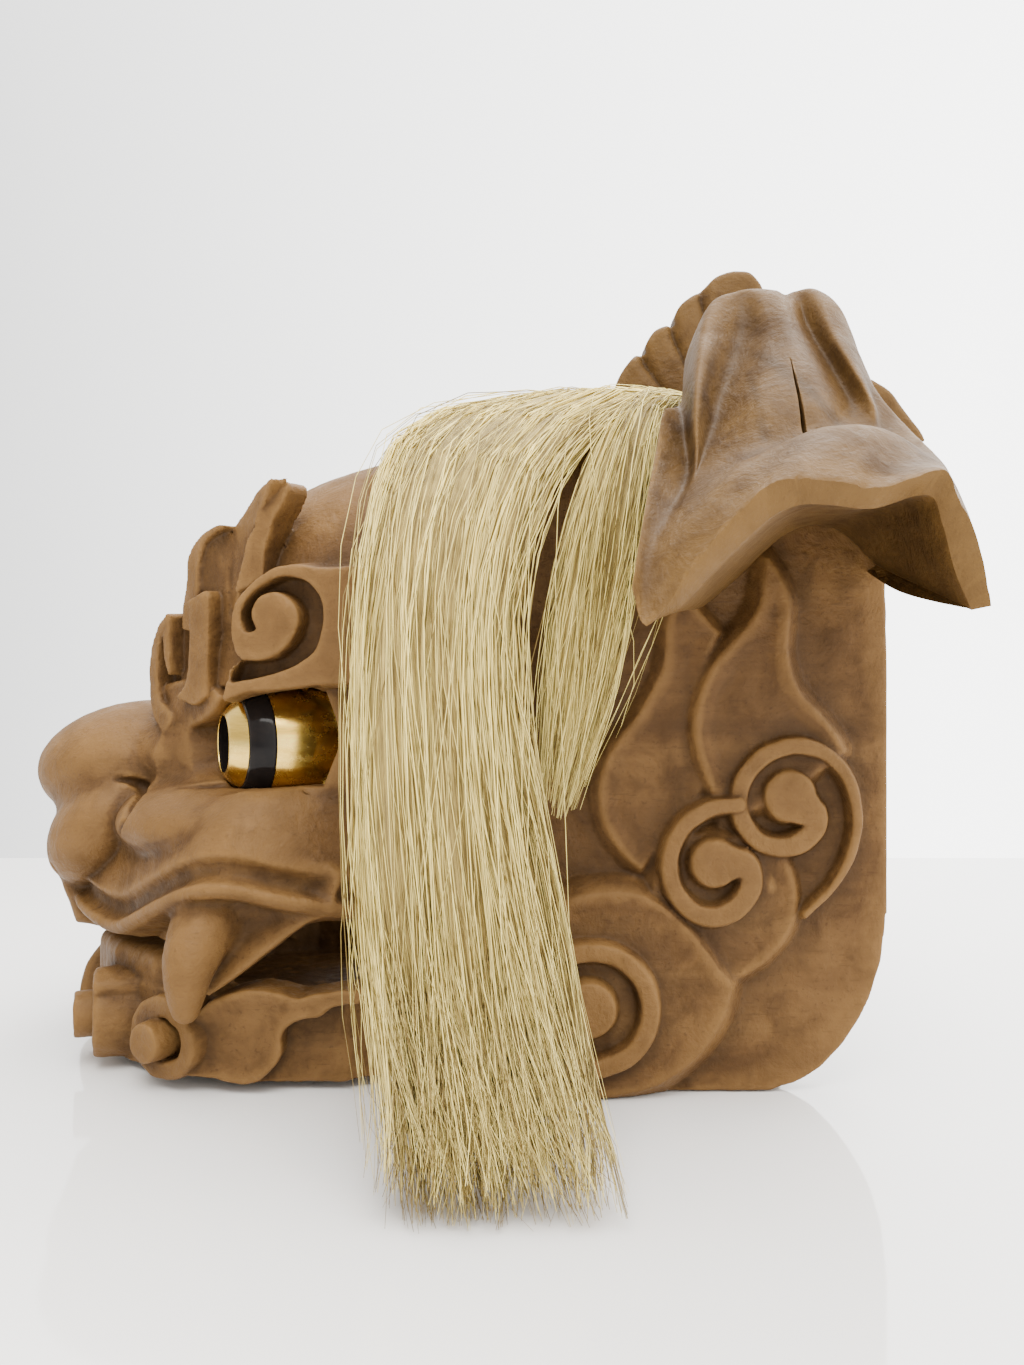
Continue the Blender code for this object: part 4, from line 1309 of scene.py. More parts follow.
@dataclass
class EarCarving:
    """The left ear: a thick drooping leaf, rolled at both sides, with a slit and a turned-up lip.

    The cage gives its outer face, one row for each step from the crown to the open end, and each row
    from the front lobe over the middle to the rear wing.
    """

    cut_line: Points = (
        (147, 33.5, 157.5), (148, 37.0, 150.4), (148, 43.5, 152.2), (148, 51.5, 161.0), (148, 59.5, 168.8),
        (148, 68, 176.4), (148, 75.5, 179.8), (147, 84.5, 180.0), (146, 96, 179.2), (144, 111, 183.2),
        (142, 115.8, 175.5), (139, 120.4, 163.0), (137, 125.6, 152.8),
    )
    foot_line: Points = (
        (74, 60, 160), (74, 61.5, 157.5), (74, 64, 158.5), (74, 69, 162.5), (74, 75, 167.8), (74, 81, 173.4),
        (74, 86.5, 179), (74, 92, 182.6), (74, 98, 184.3), (74, 105, 183), (74, 111, 178.8), (74, 116, 174),
        (74, 119, 171.5),
    )
    front_foot: Points = (
        (50, 64, 216), (58, 61, 214), (66, 61, 204), (72, 62, 194), (74, 63, 184), (74, 62, 172),
        (74, 60, 160),
    )
    rear_foot: Points = (
        (50, 114, 206), (56, 114, 192), (66, 116, 176), (72, 118, 173), (74, 118.8, 172), (74, 119, 171.8),
        (74, 119, 171.5),
    )
    rings: int = 10
    hollow: float = 9.0
    row_steps: int = 15
    column_steps: int = 12
    slit: Points = ((85.4, 231.5), (84.9, 218.0), (84.3, 203.6))
    slit_width: float = 1.3
    edge: float = 0.9
    edge_angle: float = 55.0
    chip_seed: int = 5
    # Lines along the leaf's valleys and slit where the wood is painted darker, as painted shade.
    shade_lines: Sequence[Points] = (
        ((76, 243, 1.0), (72, 231, 2.6), (68, 220, 3.0), (61, 205, 2.6), (55, 196, 1.6)),
        ((88, 238, 1.0), (94, 228, 2.4), (101, 218, 2.2), (107, 210, 1.2)),
        ((50.5, 204, 1.4), (51.5, 197, 1.6)),
        ((85.2, 230, 0.4), (84.9, 218, 0.9), (84.3, 204, 1.4)),
    )
    chips: float = 0.5
    most_triangles: int = 46000
    cage: Sequence[Points] = (
        ((54, 62, 225), (54, 66.6, 225), (54, 71.2, 225), (54, 75.8, 225), (54, 80.4, 225), (54, 85, 225),
         (54, 89.6, 225), (54, 94.2, 225), (54, 98.8, 225), (54, 103.4, 225), (54, 108, 220),
         (54, 112.6, 215), (54, 117.2, 210)),
        ((62, 59.6, 235.9), (64, 59.3, 243.4), (66, 67, 258.9), (66, 75.9, 263.2), (66, 82.2, 264.0),
         (65, 87.6, 263.6), (64, 91.1, 262.4), (65, 94.7, 263.4), (66, 100.9, 263.8), (64, 108.7, 258.7),
         (60, 114.3, 245.5), (58, 119, 218), (58, 117, 192)),
        ((78, 54.5, 223), (81, 55.5, 227.1), (87, 60.3, 240.9), (75, 74.3, 246.6), (84, 81.9, 244.5),
         (88, 87.4, 244.2), (85, 91.7, 245), (76, 97.3, 247.7), (86, 102.5, 243.9), (82, 110.4, 240.8),
         (76, 115.7, 232.2), (73, 121, 205), (74, 119, 174)),
        ((96, 47, 217), (97, 53.3, 211.4), (106, 55.4, 217.4), (93, 65.1, 221), (108, 74.2, 217.3),
         (112, 85.2, 217), (109, 93, 217.9), (97, 103.1, 221), (105, 107.6, 219.4), (98, 111.8, 218.1),
         (90, 116.4, 221.7), (87, 124, 196), (88, 120.5, 167)),
        ((110, 42.9, 202.6), (111, 51.2, 193.8), (116, 53.5, 195.4), (110, 58.1, 200.6), (121, 68.9, 199.6),
         (122, 83.2, 203.2), (119, 90.9, 205.4), (113, 99.7, 208.2), (110, 108.4, 208.1), (105, 113.6, 207.6),
         (98, 121.2, 211.6), (101, 127.5, 187), (104, 122.8, 161.4)),
        ((134, 36.4, 179.3), (138, 38.9, 172.0), (141, 43.8, 173.9), (141, 49.3, 179.1), (139, 61.3, 190.3),
         (134, 80.1, 201.3), (133, 90.7, 203.8), (131, 99.4, 203.8), (128, 108.6, 201.9), (122, 119, 198.6),
         (119, 125.1, 195.5), (121, 130.5, 178), (123, 126, 157.2)),
        ((150, 31.4, 158.1), (152, 34.3, 148.3), (152, 39.9, 152.8), (152, 45.8, 161.4), (152, 52.7, 170.4),
         (152, 64.5, 182.9), (152, 72.8, 186.2), (151, 84.2, 185.8), (150, 97, 184.3), (148, 113.4, 189.2),
         (146, 118.4, 182.5), (143, 125.2, 170.6), (140, 129.8, 154.0)),
    )

    def surface(self) -> Floats:
        """The leaf's outer face as a grid of points, with shallow tool marks."""
        across = np.array([smooth_line(row, self.column_steps) for row in self.cage])
        along = np.array([smooth_line(across[:, k], self.row_steps) for k in range(across.shape[1])])
        grid = along.transpose(1, 0, 2)
        mark = tool_waves(grid.reshape(-1, 3), 9.0).reshape(grid.shape[:2])
        grid[..., 0] += 0.25 * mark
        return grid

    def under_rings(self, grid: Floats) -> Floats:
        """Rings of points from the outer face over the cut edge and the hollow underside to the head."""
        front, rear, last = grid[:, 0], grid[:, -1], grid[-1]
        cut = smooth_line(self.cut_line, self.column_steps)
        foot = smooth_line(self.foot_line, self.column_steps)
        front_foot = smooth_line(self.front_foot, self.row_steps)
        rear_foot = smooth_line(self.rear_foot, self.row_steps)
        down = np.linspace(0, 1, len(front))[:, None]
        across = np.linspace(0, 1, len(last))[:, None]
        front_step = (cut[0] - last[0]) * ease(down * 3)
        rear_step = (cut[-1] - last[-1]) * ease(down * 3)
        top = grid[0] * [0, 1, 1] + [50.0, 0, -9.0]
        sides = (
            (grid[0], grid[0] - [0, 0, 2.0], top, across * 0),
            (rear, rear + rear_step, rear_foot, down * 0),
            (last[::-1], cut[::-1], foot[::-1], 0.35 * np.sin(across * math.pi)),
            (front[::-1], (front + front_step)[::-1], front_foot[::-1], np.sin(down * math.pi)[::-1]),
        )
        border, cut_ring, end_ring, deep = (
            np.vstack([side[k][:-1] for side in sides]) for k in range(4)
        )
        pull = np.array([-0.2, 0.6, 0.55]) * self.hollow
        made = [border]
        for t in np.linspace(0, 1, self.rings + 1):
            arch = math.sin(math.pi * min(t * 1.25, 1.0))
            made.append(cut_ring * (1 - t) + end_ring * t + deep * pull * arch)
        return np.array(made)

    def painted_valley_shade(self, made: Piece) -> Piece:
        """Stores the painted shade in the leaf's valleys and slit, from 0 to 1."""
        x, y, z = mesh_points(made.data).T
        dark = np.zeros(len(x))
        for line in self.shade_lines:
            drawn = np.array(line, float)
            away = stroke_distance(y, z, drawn[:, :2], drawn[:, 2])
            dark = np.maximum(dark, ease(0.5 - away / (1.6 * float(drawn[:, 2].max()))))
        store(made.data, "painted_valley_shade", dark * ease((x - 78) / 8))
        return made

    def slit_blade(self) -> Piece:
        """The thin wedge that opens the slit."""
        drawn = smooth_line(self.slit, 8)
        face = self.surface().reshape(-1, 3)
        face = face[face[:, 0] > 80]
        near = [np.argmin(((face[:, 1:] - place) ** 2).sum(1)) for place in drawn]
        line = np.column_stack([face[near, 0], drawn])
        width = self.slit_width * (0.12 + 0.88 * np.linspace(0, 1, len(line)) ** 0.8)
        rings = []
        for (x, y, z), half in zip(line, width):
            rings.append([(x + 6, y - half, z + 6), (x + 6, y + half, z + 6), (x - 9, y, z - 7)])
        points = np.array(rings).reshape(-1, 3)
        faces = bmesh.new()
        corners = [faces.verts.new(point) for point in metres(points)]
        rows = [corners[i:i + 3] for i in range(0, len(corners), 3)]
        for row, following in zip(rows, rows[1:]):
            for i in range(3):
                faces.faces.new((row[i], row[(i + 1) % 3], following[(i + 1) % 3], following[i]))
        faces.faces.new(rows[0])
        faces.faces.new(rows[-1][::-1])
        return mesh_from(faces, "slit_blade")

    def build(self) -> Piece:
        """The left ear as a closed mesh that stands on the crown."""
        outer = self.surface()
        chance = np.random.default_rng(self.chip_seed)
        rows, columns = outer.shape[:2]
        chips = np.convolve(chance.normal(0, 1, columns + 4), np.ones(3) / 3, "same")[2:-2]
        outer[-1, :, 2] -= self.chips * np.abs(chips)
        outer[-1, :, 0] -= self.chips * np.abs(chips) * 0.6
        rings = self.under_rings(outer)
        number = np.arange(rows * columns).reshape(rows, columns)
        face = np.stack([number[:-1, :-1], number[1:, :-1], number[1:, 1:], number[:-1, 1:]], -1)
        border = np.concatenate([number[0, :-1], number[:-1, -1], number[-1, :0:-1], number[:0:-1, 0]])
        below = rows * columns + np.arange((len(rings) - 1) * len(border)).reshape(-1, len(border))
        ladder = np.vstack([border, below])
        beside = np.roll(ladder, -1, 1)
        wall = np.stack([ladder[:-1], beside[:-1], beside[1:], ladder[1:]], -1).reshape(-1, 4)
        middle = rows * columns + below.size
        cap = np.stack([ladder[-1], beside[-1], np.full(len(border), middle)], -1)
        four = np.vstack([face.reshape(-1, 4), wall])
        corners = np.vstack([four[:, [0, 1, 2]], four[:, [0, 2, 3]], cap])
        centre = np.array([[60.0, 90.0, 196.0]])
        points = metres(np.vstack([outer.reshape(-1, 3), rings[1:].reshape(-1, 3), centre]))
        made = mesh_of("ear_left_carving", points, corners)
        face_out = bmesh.new()
        face_out.from_mesh(made.data)
        bmesh.ops.recalc_face_normals(face_out, faces=face_out.faces)
        face_out.to_mesh(made.data)
        face_out.free()
        edge = made.modifiers.new("edge", "BEVEL")
        edge.width = self.edge * MILLIMETRE
        edge.segments = 2
        edge.limit_method = "ANGLE"
        edge.angle_limit = math.radians(self.edge_angle)
        apply_modifiers(made)
        blade = self.slit_blade()
        cut = made.modifiers.new("slit", "BOOLEAN")
        cut.operation = "DIFFERENCE"
        cut.object = blade
        apply_modifiers(made)
        bpy.data.objects.remove(blade)
        return mark_hollows(self.painted_valley_shade(thinned(made, self.most_triangles)), 90, 1.6)


def mirrored(source: Piece, name: str) -> Piece:
    """The piece's twin on the other side of the head, its faces still looking out."""
    mesh = source.data.copy()
    mesh.name = name
    mesh.transform(Matrix.Scale(-1, 4, (1, 0, 0)))
    mesh.flip_normals()
    return placed(name, mesh)


@dataclass
class EyeCarving:
    """The left eye: a hollow gilt bulb with an open pupil, and a glossy black band round it."""

    axis: EyeAxis = field(default_factory=EyeAxis)
    wall: float = 1.2
    lining: float = 0.35
    sides: int = 96
    band_from: float = 4.5
    band_to: float = 11.6
    band_lean: float = 2.4

    def outside(self, back: Floats) -> Floats:
        """The bulb's outer radius this far behind the pupil's rim."""
        eye = self.axis
        off = np.clip((eye.widest() - back) / (eye.stretch * eye.radius), 0.0, 0.999)
        return eye.radius * np.sqrt(1 - off**2)

    def turned(self, name: str, section: Floats) -> Piece:
        """A closed ring from distances behind the rim and radii, one for all or one for each side."""
        eye = self.axis
        turn = math.radians(eye.heading)
        angle = np.linspace(0, 2 * math.pi, self.sides, endpoint=False)
        back, across = section[:, 0].reshape(len(section), -1), section[:, 1].reshape(len(section), -1)
        aside, up = across * np.cos(angle), across * np.sin(angle)
        x = eye.rim[0] - back * math.sin(turn) + aside * math.cos(turn)
        y = eye.rim[1] + back * math.cos(turn) + aside * math.sin(turn)
        points = np.stack([x, y, eye.rim[2] + up], -1).reshape(-1, 3)
        number = np.arange(len(points)).reshape(len(section), self.sides)
        after, beside = np.roll(number, -1, 0), np.roll(number, -1, 1)
        quads = np.stack([number, after, np.roll(after, -1, 1), beside], -1).reshape(-1, 4)
        return mesh_of(name, metres(points), quads)

    def bulb(self) -> Piece:
        """The gilt bulb, open in front and behind."""
        widest = self.axis.widest()
        back = np.concatenate([np.linspace(0, widest, 30), [widest + self.axis.tail]])
        outer = np.stack([back, self.outside(back)], 1)
        inner = np.stack([back[::-1] + 0.25, self.outside(back[::-1]) - self.wall + self.lining], 1)
        return self.turned("eye_left_bulb", np.vstack([outer, inner]))

    def lining_ring(self) -> Piece:
        """The dark coat inside the bulb."""
        eye = self.axis
        end = eye.stretch * eye.radius + eye.tail - 6.0
        back = np.linspace(0.35, end - 1.0, 30)
        outer = np.stack([back, self.outside(back) - self.wall + self.lining], 1)
        inner = np.stack([back[::-1], self.outside(back[::-1]) - self.wall], 1)
        return self.turned("eye_left_lining", np.vstack([outer, inner]))

    def band(self) -> Piece:
        """The lacquered band, laid on the bulb, broader on its outer side."""
        angle = np.linspace(0, 2 * math.pi, self.sides, endpoint=False)
        share = np.linspace(0, 1, 14)[:, None]
        first = self.band_from + self.band_lean * 0.45 * np.cos(angle)[None]
        last = self.band_to + self.band_lean * np.cos(angle)[None]
        back = first + (last - first) * share
        lift = 0.4 * np.sin(share * math.pi) ** 0.5
        outer = np.stack([back, self.outside(back) + lift], 1)
        inner = np.stack([back[::-1], self.outside(back[::-1]) - 0.2], 1)[1:-1]
        return self.turned("eye_left_band", np.vstack([outer, inner]))


@dataclass
class Fall:
    """One fall of horsehair between its foremost and rearmost lock, from its root to its end.

    `stray` and `wild` are the shares of loose and of swinging hairs. Across the fall, in half widths,
    locks start within `reach` of the middle, their hairs spread by `gather`, wander by `drift`, `ripple`
    and `curl`, and stay within `border`. No hair hangs lower than `lowest`.
    """

    name: str
    front: Points
    rear: Points
    strands: int
    locks: int
    root_depth: float
    end_depth: float
    stray: float = 0.12
    wild: float = 0.02
    thickness: float = 0.25
    taper: float = 0.7
    reach: float = 0.97
    gather: float = 0.05
    drift: float = 0.15
    ripple: float = 0.05
    curl: float = 0.03
    border: float = 1.16
    lowest: float = 0.9
    steps: int = 14
    seed: int = 7
    core_end: float = 0.9
    core_rows: int = 70
    core_columns: int = 120
    core_inset: float = 0.8

    def frame(self, s: Floats) -> tuple[Floats, Floats, Floats]:
        """The fall's middle, half width and outward way at these shares of its length."""
        first, last = smooth_line(self.front, 8), smooth_line(self.rear, 8)
        at, number = s * (len(first) - 1), np.arange(len(first))
        a, b, way = (
            np.stack([np.interp(at, number, rows[:, k]) for k in range(3)], -1)
            for rows in (first, last, np.gradient((first + last) / 2, axis=0))
        )
        middle, half = (a + b) / 2, (b - a) / 2
        out = np.cross(half, way)
        out /= np.linalg.norm(out, axis=-1, keepdims=True)
        out *= np.where(out[..., 0:1] + out[..., 2:3] > 0, 1.0, -1.0)
        return middle, half, out

    def paths(self) -> tuple[Floats, Floats, Floats]:
        """Every hair's path.

        Returns:
            The paths as strands by points by x, y, z in millimetres, their radii and each hair's tone.
        """
        chance = np.random.default_rng(self.seed)
        lock = chance.integers(0, self.locks, self.strands)
        lock_place = np.sort(chance.uniform(-self.reach, self.reach, self.locks))[lock, None]
        lock_depth = chance.uniform(-1.0, 1.0, self.locks)[lock, None]
        lock_sway = chance.normal(0, 1.0, (self.locks, 4))[lock]
        lock_end = chance.uniform(0.93, 1.0, self.locks)[lock]
        spread = chance.normal(0, 1.0, (self.strands, 2))
        sway = chance.normal(0, 1.0, (self.strands, 4))
        loose = (chance.random(self.strands) < self.stray).astype(float)[:, None]
        wild = (chance.random(self.strands) < self.wild).astype(float)[:, None]
        s = np.linspace(0.0, 1.0, self.steps + 1)
        length = lock_end * (1 - 0.12 * chance.random(self.strands) ** 2)
        share = s[None] * length[:, None]
        middle, half, out = self.frame(share)
        gather = self.gather + self.gather / 2 * np.sin(share * 9 + lock[:, None])
        place = lock_place + spread[:, :1] * gather * (1 + 2.5 * loose)
        place += self.drift * share * (
            lock_sway[:, 0:1] * np.sin(2.6 * share * math.pi + lock_sway[:, 1:2])
            + sway[:, 0:1] * (0.8 + 2.2 * loose) * np.sin(2.1 * share * math.pi + sway[:, 1:2])
        )
        place += self.ripple * lock_sway[:, 2:3] * np.sin(3.8 * share * math.pi + 2 * lock_sway[:, 3:4])
        curly = 0.5 + 2.0 * (sway[:, 2:3] > 0.7) + 2.5 * loose
        place += self.curl * curly * share * np.sin((5 + sway[:, 3:4]) * share * math.pi + 4 * sway[:, 1:2])
        place = np.clip(place, -self.border, self.border)
        depth = self.root_depth + (self.end_depth - self.root_depth) * share
        level = np.clip(lock_depth * 0.6 + spread[:, 1:2] * 0.36, -0.98, 1.1)
        level = level * np.sqrt(np.clip(1.05 - (place * 0.86) ** 2, 0.05, 1.0))
        level += 0.3 * share * sway[:, 2:3] * np.sin(2.7 * share * math.pi + sway[:, 3:4])
        path = middle + half * place[..., None] + out * (level * depth / 2)[..., None]
        path += loose[:, None] * out * (share * 5 * np.abs(sway[:, 3:4]))[..., None]
        swing = np.sin((0.6 + 0.5 * np.abs(sway[:, 2:3])) * share * math.pi) ** 2 * wild
        side = np.where(sway[:, 1:2] > 0, 1.0, -1.0)
        path[..., 1] += side * swing * (6 + 11 * np.abs(sway[:, 0:1]))
        path += out * (swing * (2 + 4 * np.abs(sway[:, 1:2])))[..., None]
        path[..., 2] = np.maximum(path[..., 2], self.lowest)
        own = chance.uniform(0.7, 1.25, self.strands)[:, None]
        radius = self.thickness * (1 - self.taper * s**3)[None] * own
        radius = radius * (1 - 0.35 * np.maximum(loose, wild))
        # Locks that lie deeper in the fall get darker tones, as painted shade between the locks; the rest of
        # the tone is each hair's own.
        tone = np.clip(0.5 + 0.3 * chance.normal(0, 1, self.strands) + 0.34 * lock_depth[:, 0], 0, 1)
        return path, radius, tone

    def core(self) -> Piece:
        """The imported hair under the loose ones, as one closed grooved bundle."""
        s = np.linspace(0.0, self.core_end, self.core_rows)
        middle, half, out = self.frame(s)
        angle = np.linspace(0, 2 * math.pi, self.core_columns, endpoint=False)
        depth = (self.root_depth + (self.end_depth - self.root_depth) * s) * 0.5 - self.core_inset
        chance = np.random.default_rng(self.seed + 1)
        groove = sum(
            chance.uniform(0.3, 0.8) * np.sin(k * angle[None] + chance.uniform(0, 6) + 1.4 * s[:, None] * j)
            for j, k in enumerate((17, 23, 31, 43))
        )
        close = (1 - 0.93 * ease((s - 0.66) / 0.24))[:, None]
        flat = np.cos(angle)[None] * 0.9 * (0.55 + 0.45 * close)
        lift = (np.sin(angle)[None] * depth[:, None] + 0.3 * groove) * close
        points = middle[:, None] + half[:, None] * flat[..., None] + out[:, None] * lift[..., None]
        points[..., 2] = np.maximum(points[..., 2], 1.2)
        rows, columns = points.shape[:2]
        number = np.arange(rows * columns).reshape(rows, columns)
        beside = np.roll(number, -1, 1)
        quads = np.stack([number[:-1], number[1:], beside[1:], beside[:-1]], -1).reshape(-1, 4)
        made = bmesh.new()
        corners = [made.verts.new(point) for point in metres(points.reshape(-1, 3))]
        for quad in quads:
            made.faces.new([corners[i] for i in quad])
        for ring in (number[0], number[-1]):
            middle_point = made.verts.new(sum((corners[i].co for i in ring), Vector()) / len(ring))
            for i, j in zip(ring, np.roll(ring, -1)):
                made.faces.new((corners[i], corners[j], middle_point))
        core = mesh_from(made, self.name + "_core")
        core.data.shade_smooth()
        across = np.repeat(np.cos(angle)[None] + 3 * np.sign(np.sin(angle))[None], rows, 0)
        for name, values in (("hair_across", across), ("hair_along", np.repeat(s[:, None], columns, 1))):
            store(core.data, name, np.append(values.ravel(), [0.0, 1.0]))
        return core


@dataclass
class HairTree:
    """The Geometry Nodes tree that turns hair paths into fine closed strands."""

    sides: int = 3
    thickness: float = 1.0

    def build(self, material: bpy.types.Material) -> bpy.types.NodeTree:
        """The tree, with its inputs named and its end in Realize Instances and Set Material."""
        tree = bpy.data.node_groups.new("hair_strands", "GeometryNodeTree")
        face, nodes = tree.interface, tree.nodes
        face.new_socket("Geometry", in_out="INPUT", socket_type="NodeSocketGeometry")
        for name, kind, value in (("Sides", "Int", self.sides), ("Thickness", "Float", self.thickness)):
            face.new_socket(name, in_out="INPUT", socket_type="NodeSocket" + kind).default_value = value
        face.new_socket("Geometry", in_out="OUTPUT", socket_type="NodeSocketGeometry")
        start = nodes.new("NodeGroupInput")
        end = nodes.new("NodeGroupOutput")
        curve = nodes.new("GeometryNodeMeshToCurve")
        radius = nodes.new("GeometryNodeInputNamedAttribute")
        radius.data_type = "FLOAT"
        radius.inputs["Name"].default_value = "hair_radius"
        scale = nodes.new("ShaderNodeMath")
        scale.operation = "MULTIPLY"
        circle = nodes.new("GeometryNodeCurvePrimitiveCircle")
        circle.inputs["Radius"].default_value = 1.0
        tube = nodes.new("GeometryNodeCurveToMesh")
        tube.inputs["Fill Caps"].default_value = True
        realize = nodes.new("GeometryNodeRealizeInstances")
        dress = nodes.new("GeometryNodeSetMaterial")
        dress.inputs["Material"].default_value = material
        for source, target in (
            (start.outputs["Geometry"], curve.inputs["Mesh"]),
            (radius.outputs["Attribute"], scale.inputs[0]),
            (start.outputs["Thickness"], scale.inputs[1]),
            (start.outputs["Sides"], circle.inputs["Resolution"]),
            (curve.outputs["Curve"], tube.inputs["Curve"]),
            (scale.outputs[0], tube.inputs["Scale"]),
            (circle.outputs["Curve"], tube.inputs["Profile Curve"]),
            (tube.outputs["Mesh"], realize.inputs["Geometry"]),
            (realize.outputs["Geometry"], dress.inputs["Geometry"]),
            (dress.outputs["Geometry"], end.inputs["Geometry"]),
        ):
            tree.links.new(source, target)
        return tree


@dataclass
class Mane:
    """The horsehair on the left: a broad front fall to the table and a shorter one under the ear."""

    front: Fall = field(default_factory=lambda: Fall(
        "hair_left_front",
        ((12, 66, 232), (24, 40, 233), (40, -8, 231), (62, -36, 217), (86, -44, 189), (103, -47, 150),
         (115, -46, 110), (126, -43, 70), (138, -38, 36), (160, -33, 14), (178, -32, 4)),
        ((12, 74, 232), (34, 66, 233), (58, 46, 230), (84, 20, 208), (98, 6, 178), (106, 1, 145),
         (114, 4, 108), (124, 10, 70), (138, 16, 36), (158, 21, 14), (176, 24, 4)),
        strands=2050, locks=54, root_depth=7.0, end_depth=18.0,
    ))
    rear: Fall = field(default_factory=lambda: Fall(
        "hair_left_rear",
        ((20, 68, 232), (44, 52, 233), (74, 32, 218), (88, 20, 190), (93, 12, 155), (97, 9, 120),
         (101, 8, 90)),
        ((20, 76, 232), (44, 66, 232), (64, 50, 225), (84, 43, 198), (91, 38, 165), (96, 30, 128),
         (100, 18, 92)),
        strands=540, locks=40, root_depth=6.0, end_depth=8.0, stray=0.22, seed=19,
    ))

    def strands(self, fall: Fall, tree: bpy.types.NodeTree) -> Piece:
        """The fall's hairs as one plain mesh."""
        path, radius, tone = fall.paths()
        count, steps = path.shape[:2]
        mesh = bpy.data.meshes.new(fall.name)
        number = np.arange(count * steps).reshape(count, steps)
        edges = np.stack([number[:, :-1], number[:, 1:]], -1).reshape(-1, 2)
        mesh.vertices.add(count * steps)
        mesh.vertices.foreach_set("co", metres(path.reshape(-1, 3)).astype(np.float32).ravel())
        mesh.edges.add(len(edges))
        mesh.edges.foreach_set("vertices", edges.astype(np.int32).ravel())
        store(mesh, "hair_radius", radius * MILLIMETRE)
        store(mesh, "hair_tone", np.repeat(tone, steps))
        mesh.update()
        made = placed(fall.name, mesh)
        maker = made.modifiers.new("strands", "NODES")
        maker.node_group = tree
        for item in tree.interface.items_tree:
            if item.in_out == "INPUT" and item.name in ("Sides", "Thickness"):
                maker[item.identifier] = item.default_value
        apply_modifiers(made)
        made.data.shade_smooth()
        return made


class Wiring:
    """A short way to lay out the nodes of one material, or of the room's air."""

    mix_sockets = (0, 6, 7)

    def __init__(self, name: str, world: bool = False) -> None:
        """Starts a material, or the room's air, with a bare shader."""
        self.material = (bpy.data.worlds if world else bpy.data.materials).new(name)
        self.material.use_nodes = True
        self.nodes = self.material.node_tree.nodes
        self.links = self.material.node_tree.links
        self.shader = next(node for node in self.nodes if node.type in ("BSDF_PRINCIPLED", "BACKGROUND"))
        self.place = self.nodes.new("ShaderNodeTexCoord").outputs["Generated" if world else "Object"]

    def join(self, source: object, target: bpy.types.NodeSocket) -> None:
        """Links a socket, or sets a plain value, on an input."""
        if isinstance(source, bpy.types.NodeSocket):
            self.links.new(source, target)
        elif source is not None:
            target.default_value = source

    def feed(self, node: bpy.types.Node, inputs: dict[str, object]) -> None:
        """Links or sets a node's inputs by their names."""
        for name, source in inputs.items():
            self.join(source, node.inputs[name])

    def axis(self, name: str) -> object:
        """One axis of the coordinates."""
        node = self.nodes.new("ShaderNodeSeparateXYZ")
        self.join(self.place, node.inputs["Vector"])
        return node.outputs[name]

    def stretched(self, scale: Triple) -> object:
        """Object coordinates, stretched."""
        node = self.nodes.new("ShaderNodeMapping")
        self.feed(node, {"Vector": self.place, "Scale": scale})
        return node.outputs["Vector"]

    def noise(self, vector: object, scale: float, detail: float = 4.0, rough: float = 0.55,
              twist: float = 0.0) -> object:
        """A noise pattern's value.

        Args:
            vector: the coordinates it reads.
            scale: how fine it is.
            detail: how many finer layers it has.
            rough: how strong the finer layers are.
            twist: how far it is distorted.

        Returns:
            The value's socket.
        """
        node = self.nodes.new("ShaderNodeTexNoise")
        self.feed(node, {"Vector": vector, "Scale": scale, "Detail": detail})
        self.feed(node, {"Roughness": rough, "Distortion": twist})
        return node.outputs["Fac"]

    def ramp(self, value: object, *stops: tuple[float, Triple]) -> object:
        """A colour from a value."""
        node = self.nodes.new("ShaderNodeValToRGB")
        self.join(value, node.inputs["Fac"])
        ramp = node.color_ramp
        while len(ramp.elements) < len(stops):
            ramp.elements.new(0.5)
        for element, (position, colour) in zip(ramp.elements, stops):
            element.position = position
            element.color = (*colour, 1.0)
        return node.outputs["Color"]

    def spread(self, value: object, low: float, high: float, to_low: float = 0.0,
               to_high: float = 1.0) -> object:
        """A value moved from one span to another, kept inside it."""
        node = self.nodes.new("ShaderNodeMapRange")
        self.feed(node, {"Value": value, "From Min": low, "From Max": high})
        self.feed(node, {"To Min": to_low, "To Max": to_high})
        return node.outputs["Result"]

    def mark(self, name: str) -> object:
        """A value stored on the mesh's points."""
        node = self.nodes.new("ShaderNodeAttribute")
        node.attribute_name = name
        return node.outputs["Fac"]

    def maths(self, operation: str, a: object, b: object) -> object:
        """One sum of two values."""
        node = self.nodes.new("ShaderNodeMath")
        node.operation = operation
        self.join(a, node.inputs[0])
        self.join(b, node.inputs[1])
        return node.outputs[0]

    def mixed(self, share: object, a: object, b: object) -> object:
        """Two colours mixed by a share, through the colour sockets of a Mix node."""
        node = self.nodes.new("ShaderNodeMix")
        node.data_type = "RGBA"
        for index, source in zip(self.mix_sockets, (share, a, b)):
            if isinstance(source, tuple):
                source = (*source, 1.0)
            self.join(source, node.inputs[index])
        return node.outputs[2]

    def bumps(self, *layers: tuple[object, float, float]) -> None:
        """Stacks bump layers of height, strength and depth on the shader."""
        before = None
        for height, strength, distance in layers:
            node = self.nodes.new("ShaderNodeBump")
            self.feed(node, {"Height": height, "Strength": strength, "Distance": distance, "Normal": before})
            before = node.outputs["Normal"]
        self.join(before, self.shader.inputs["Normal"])


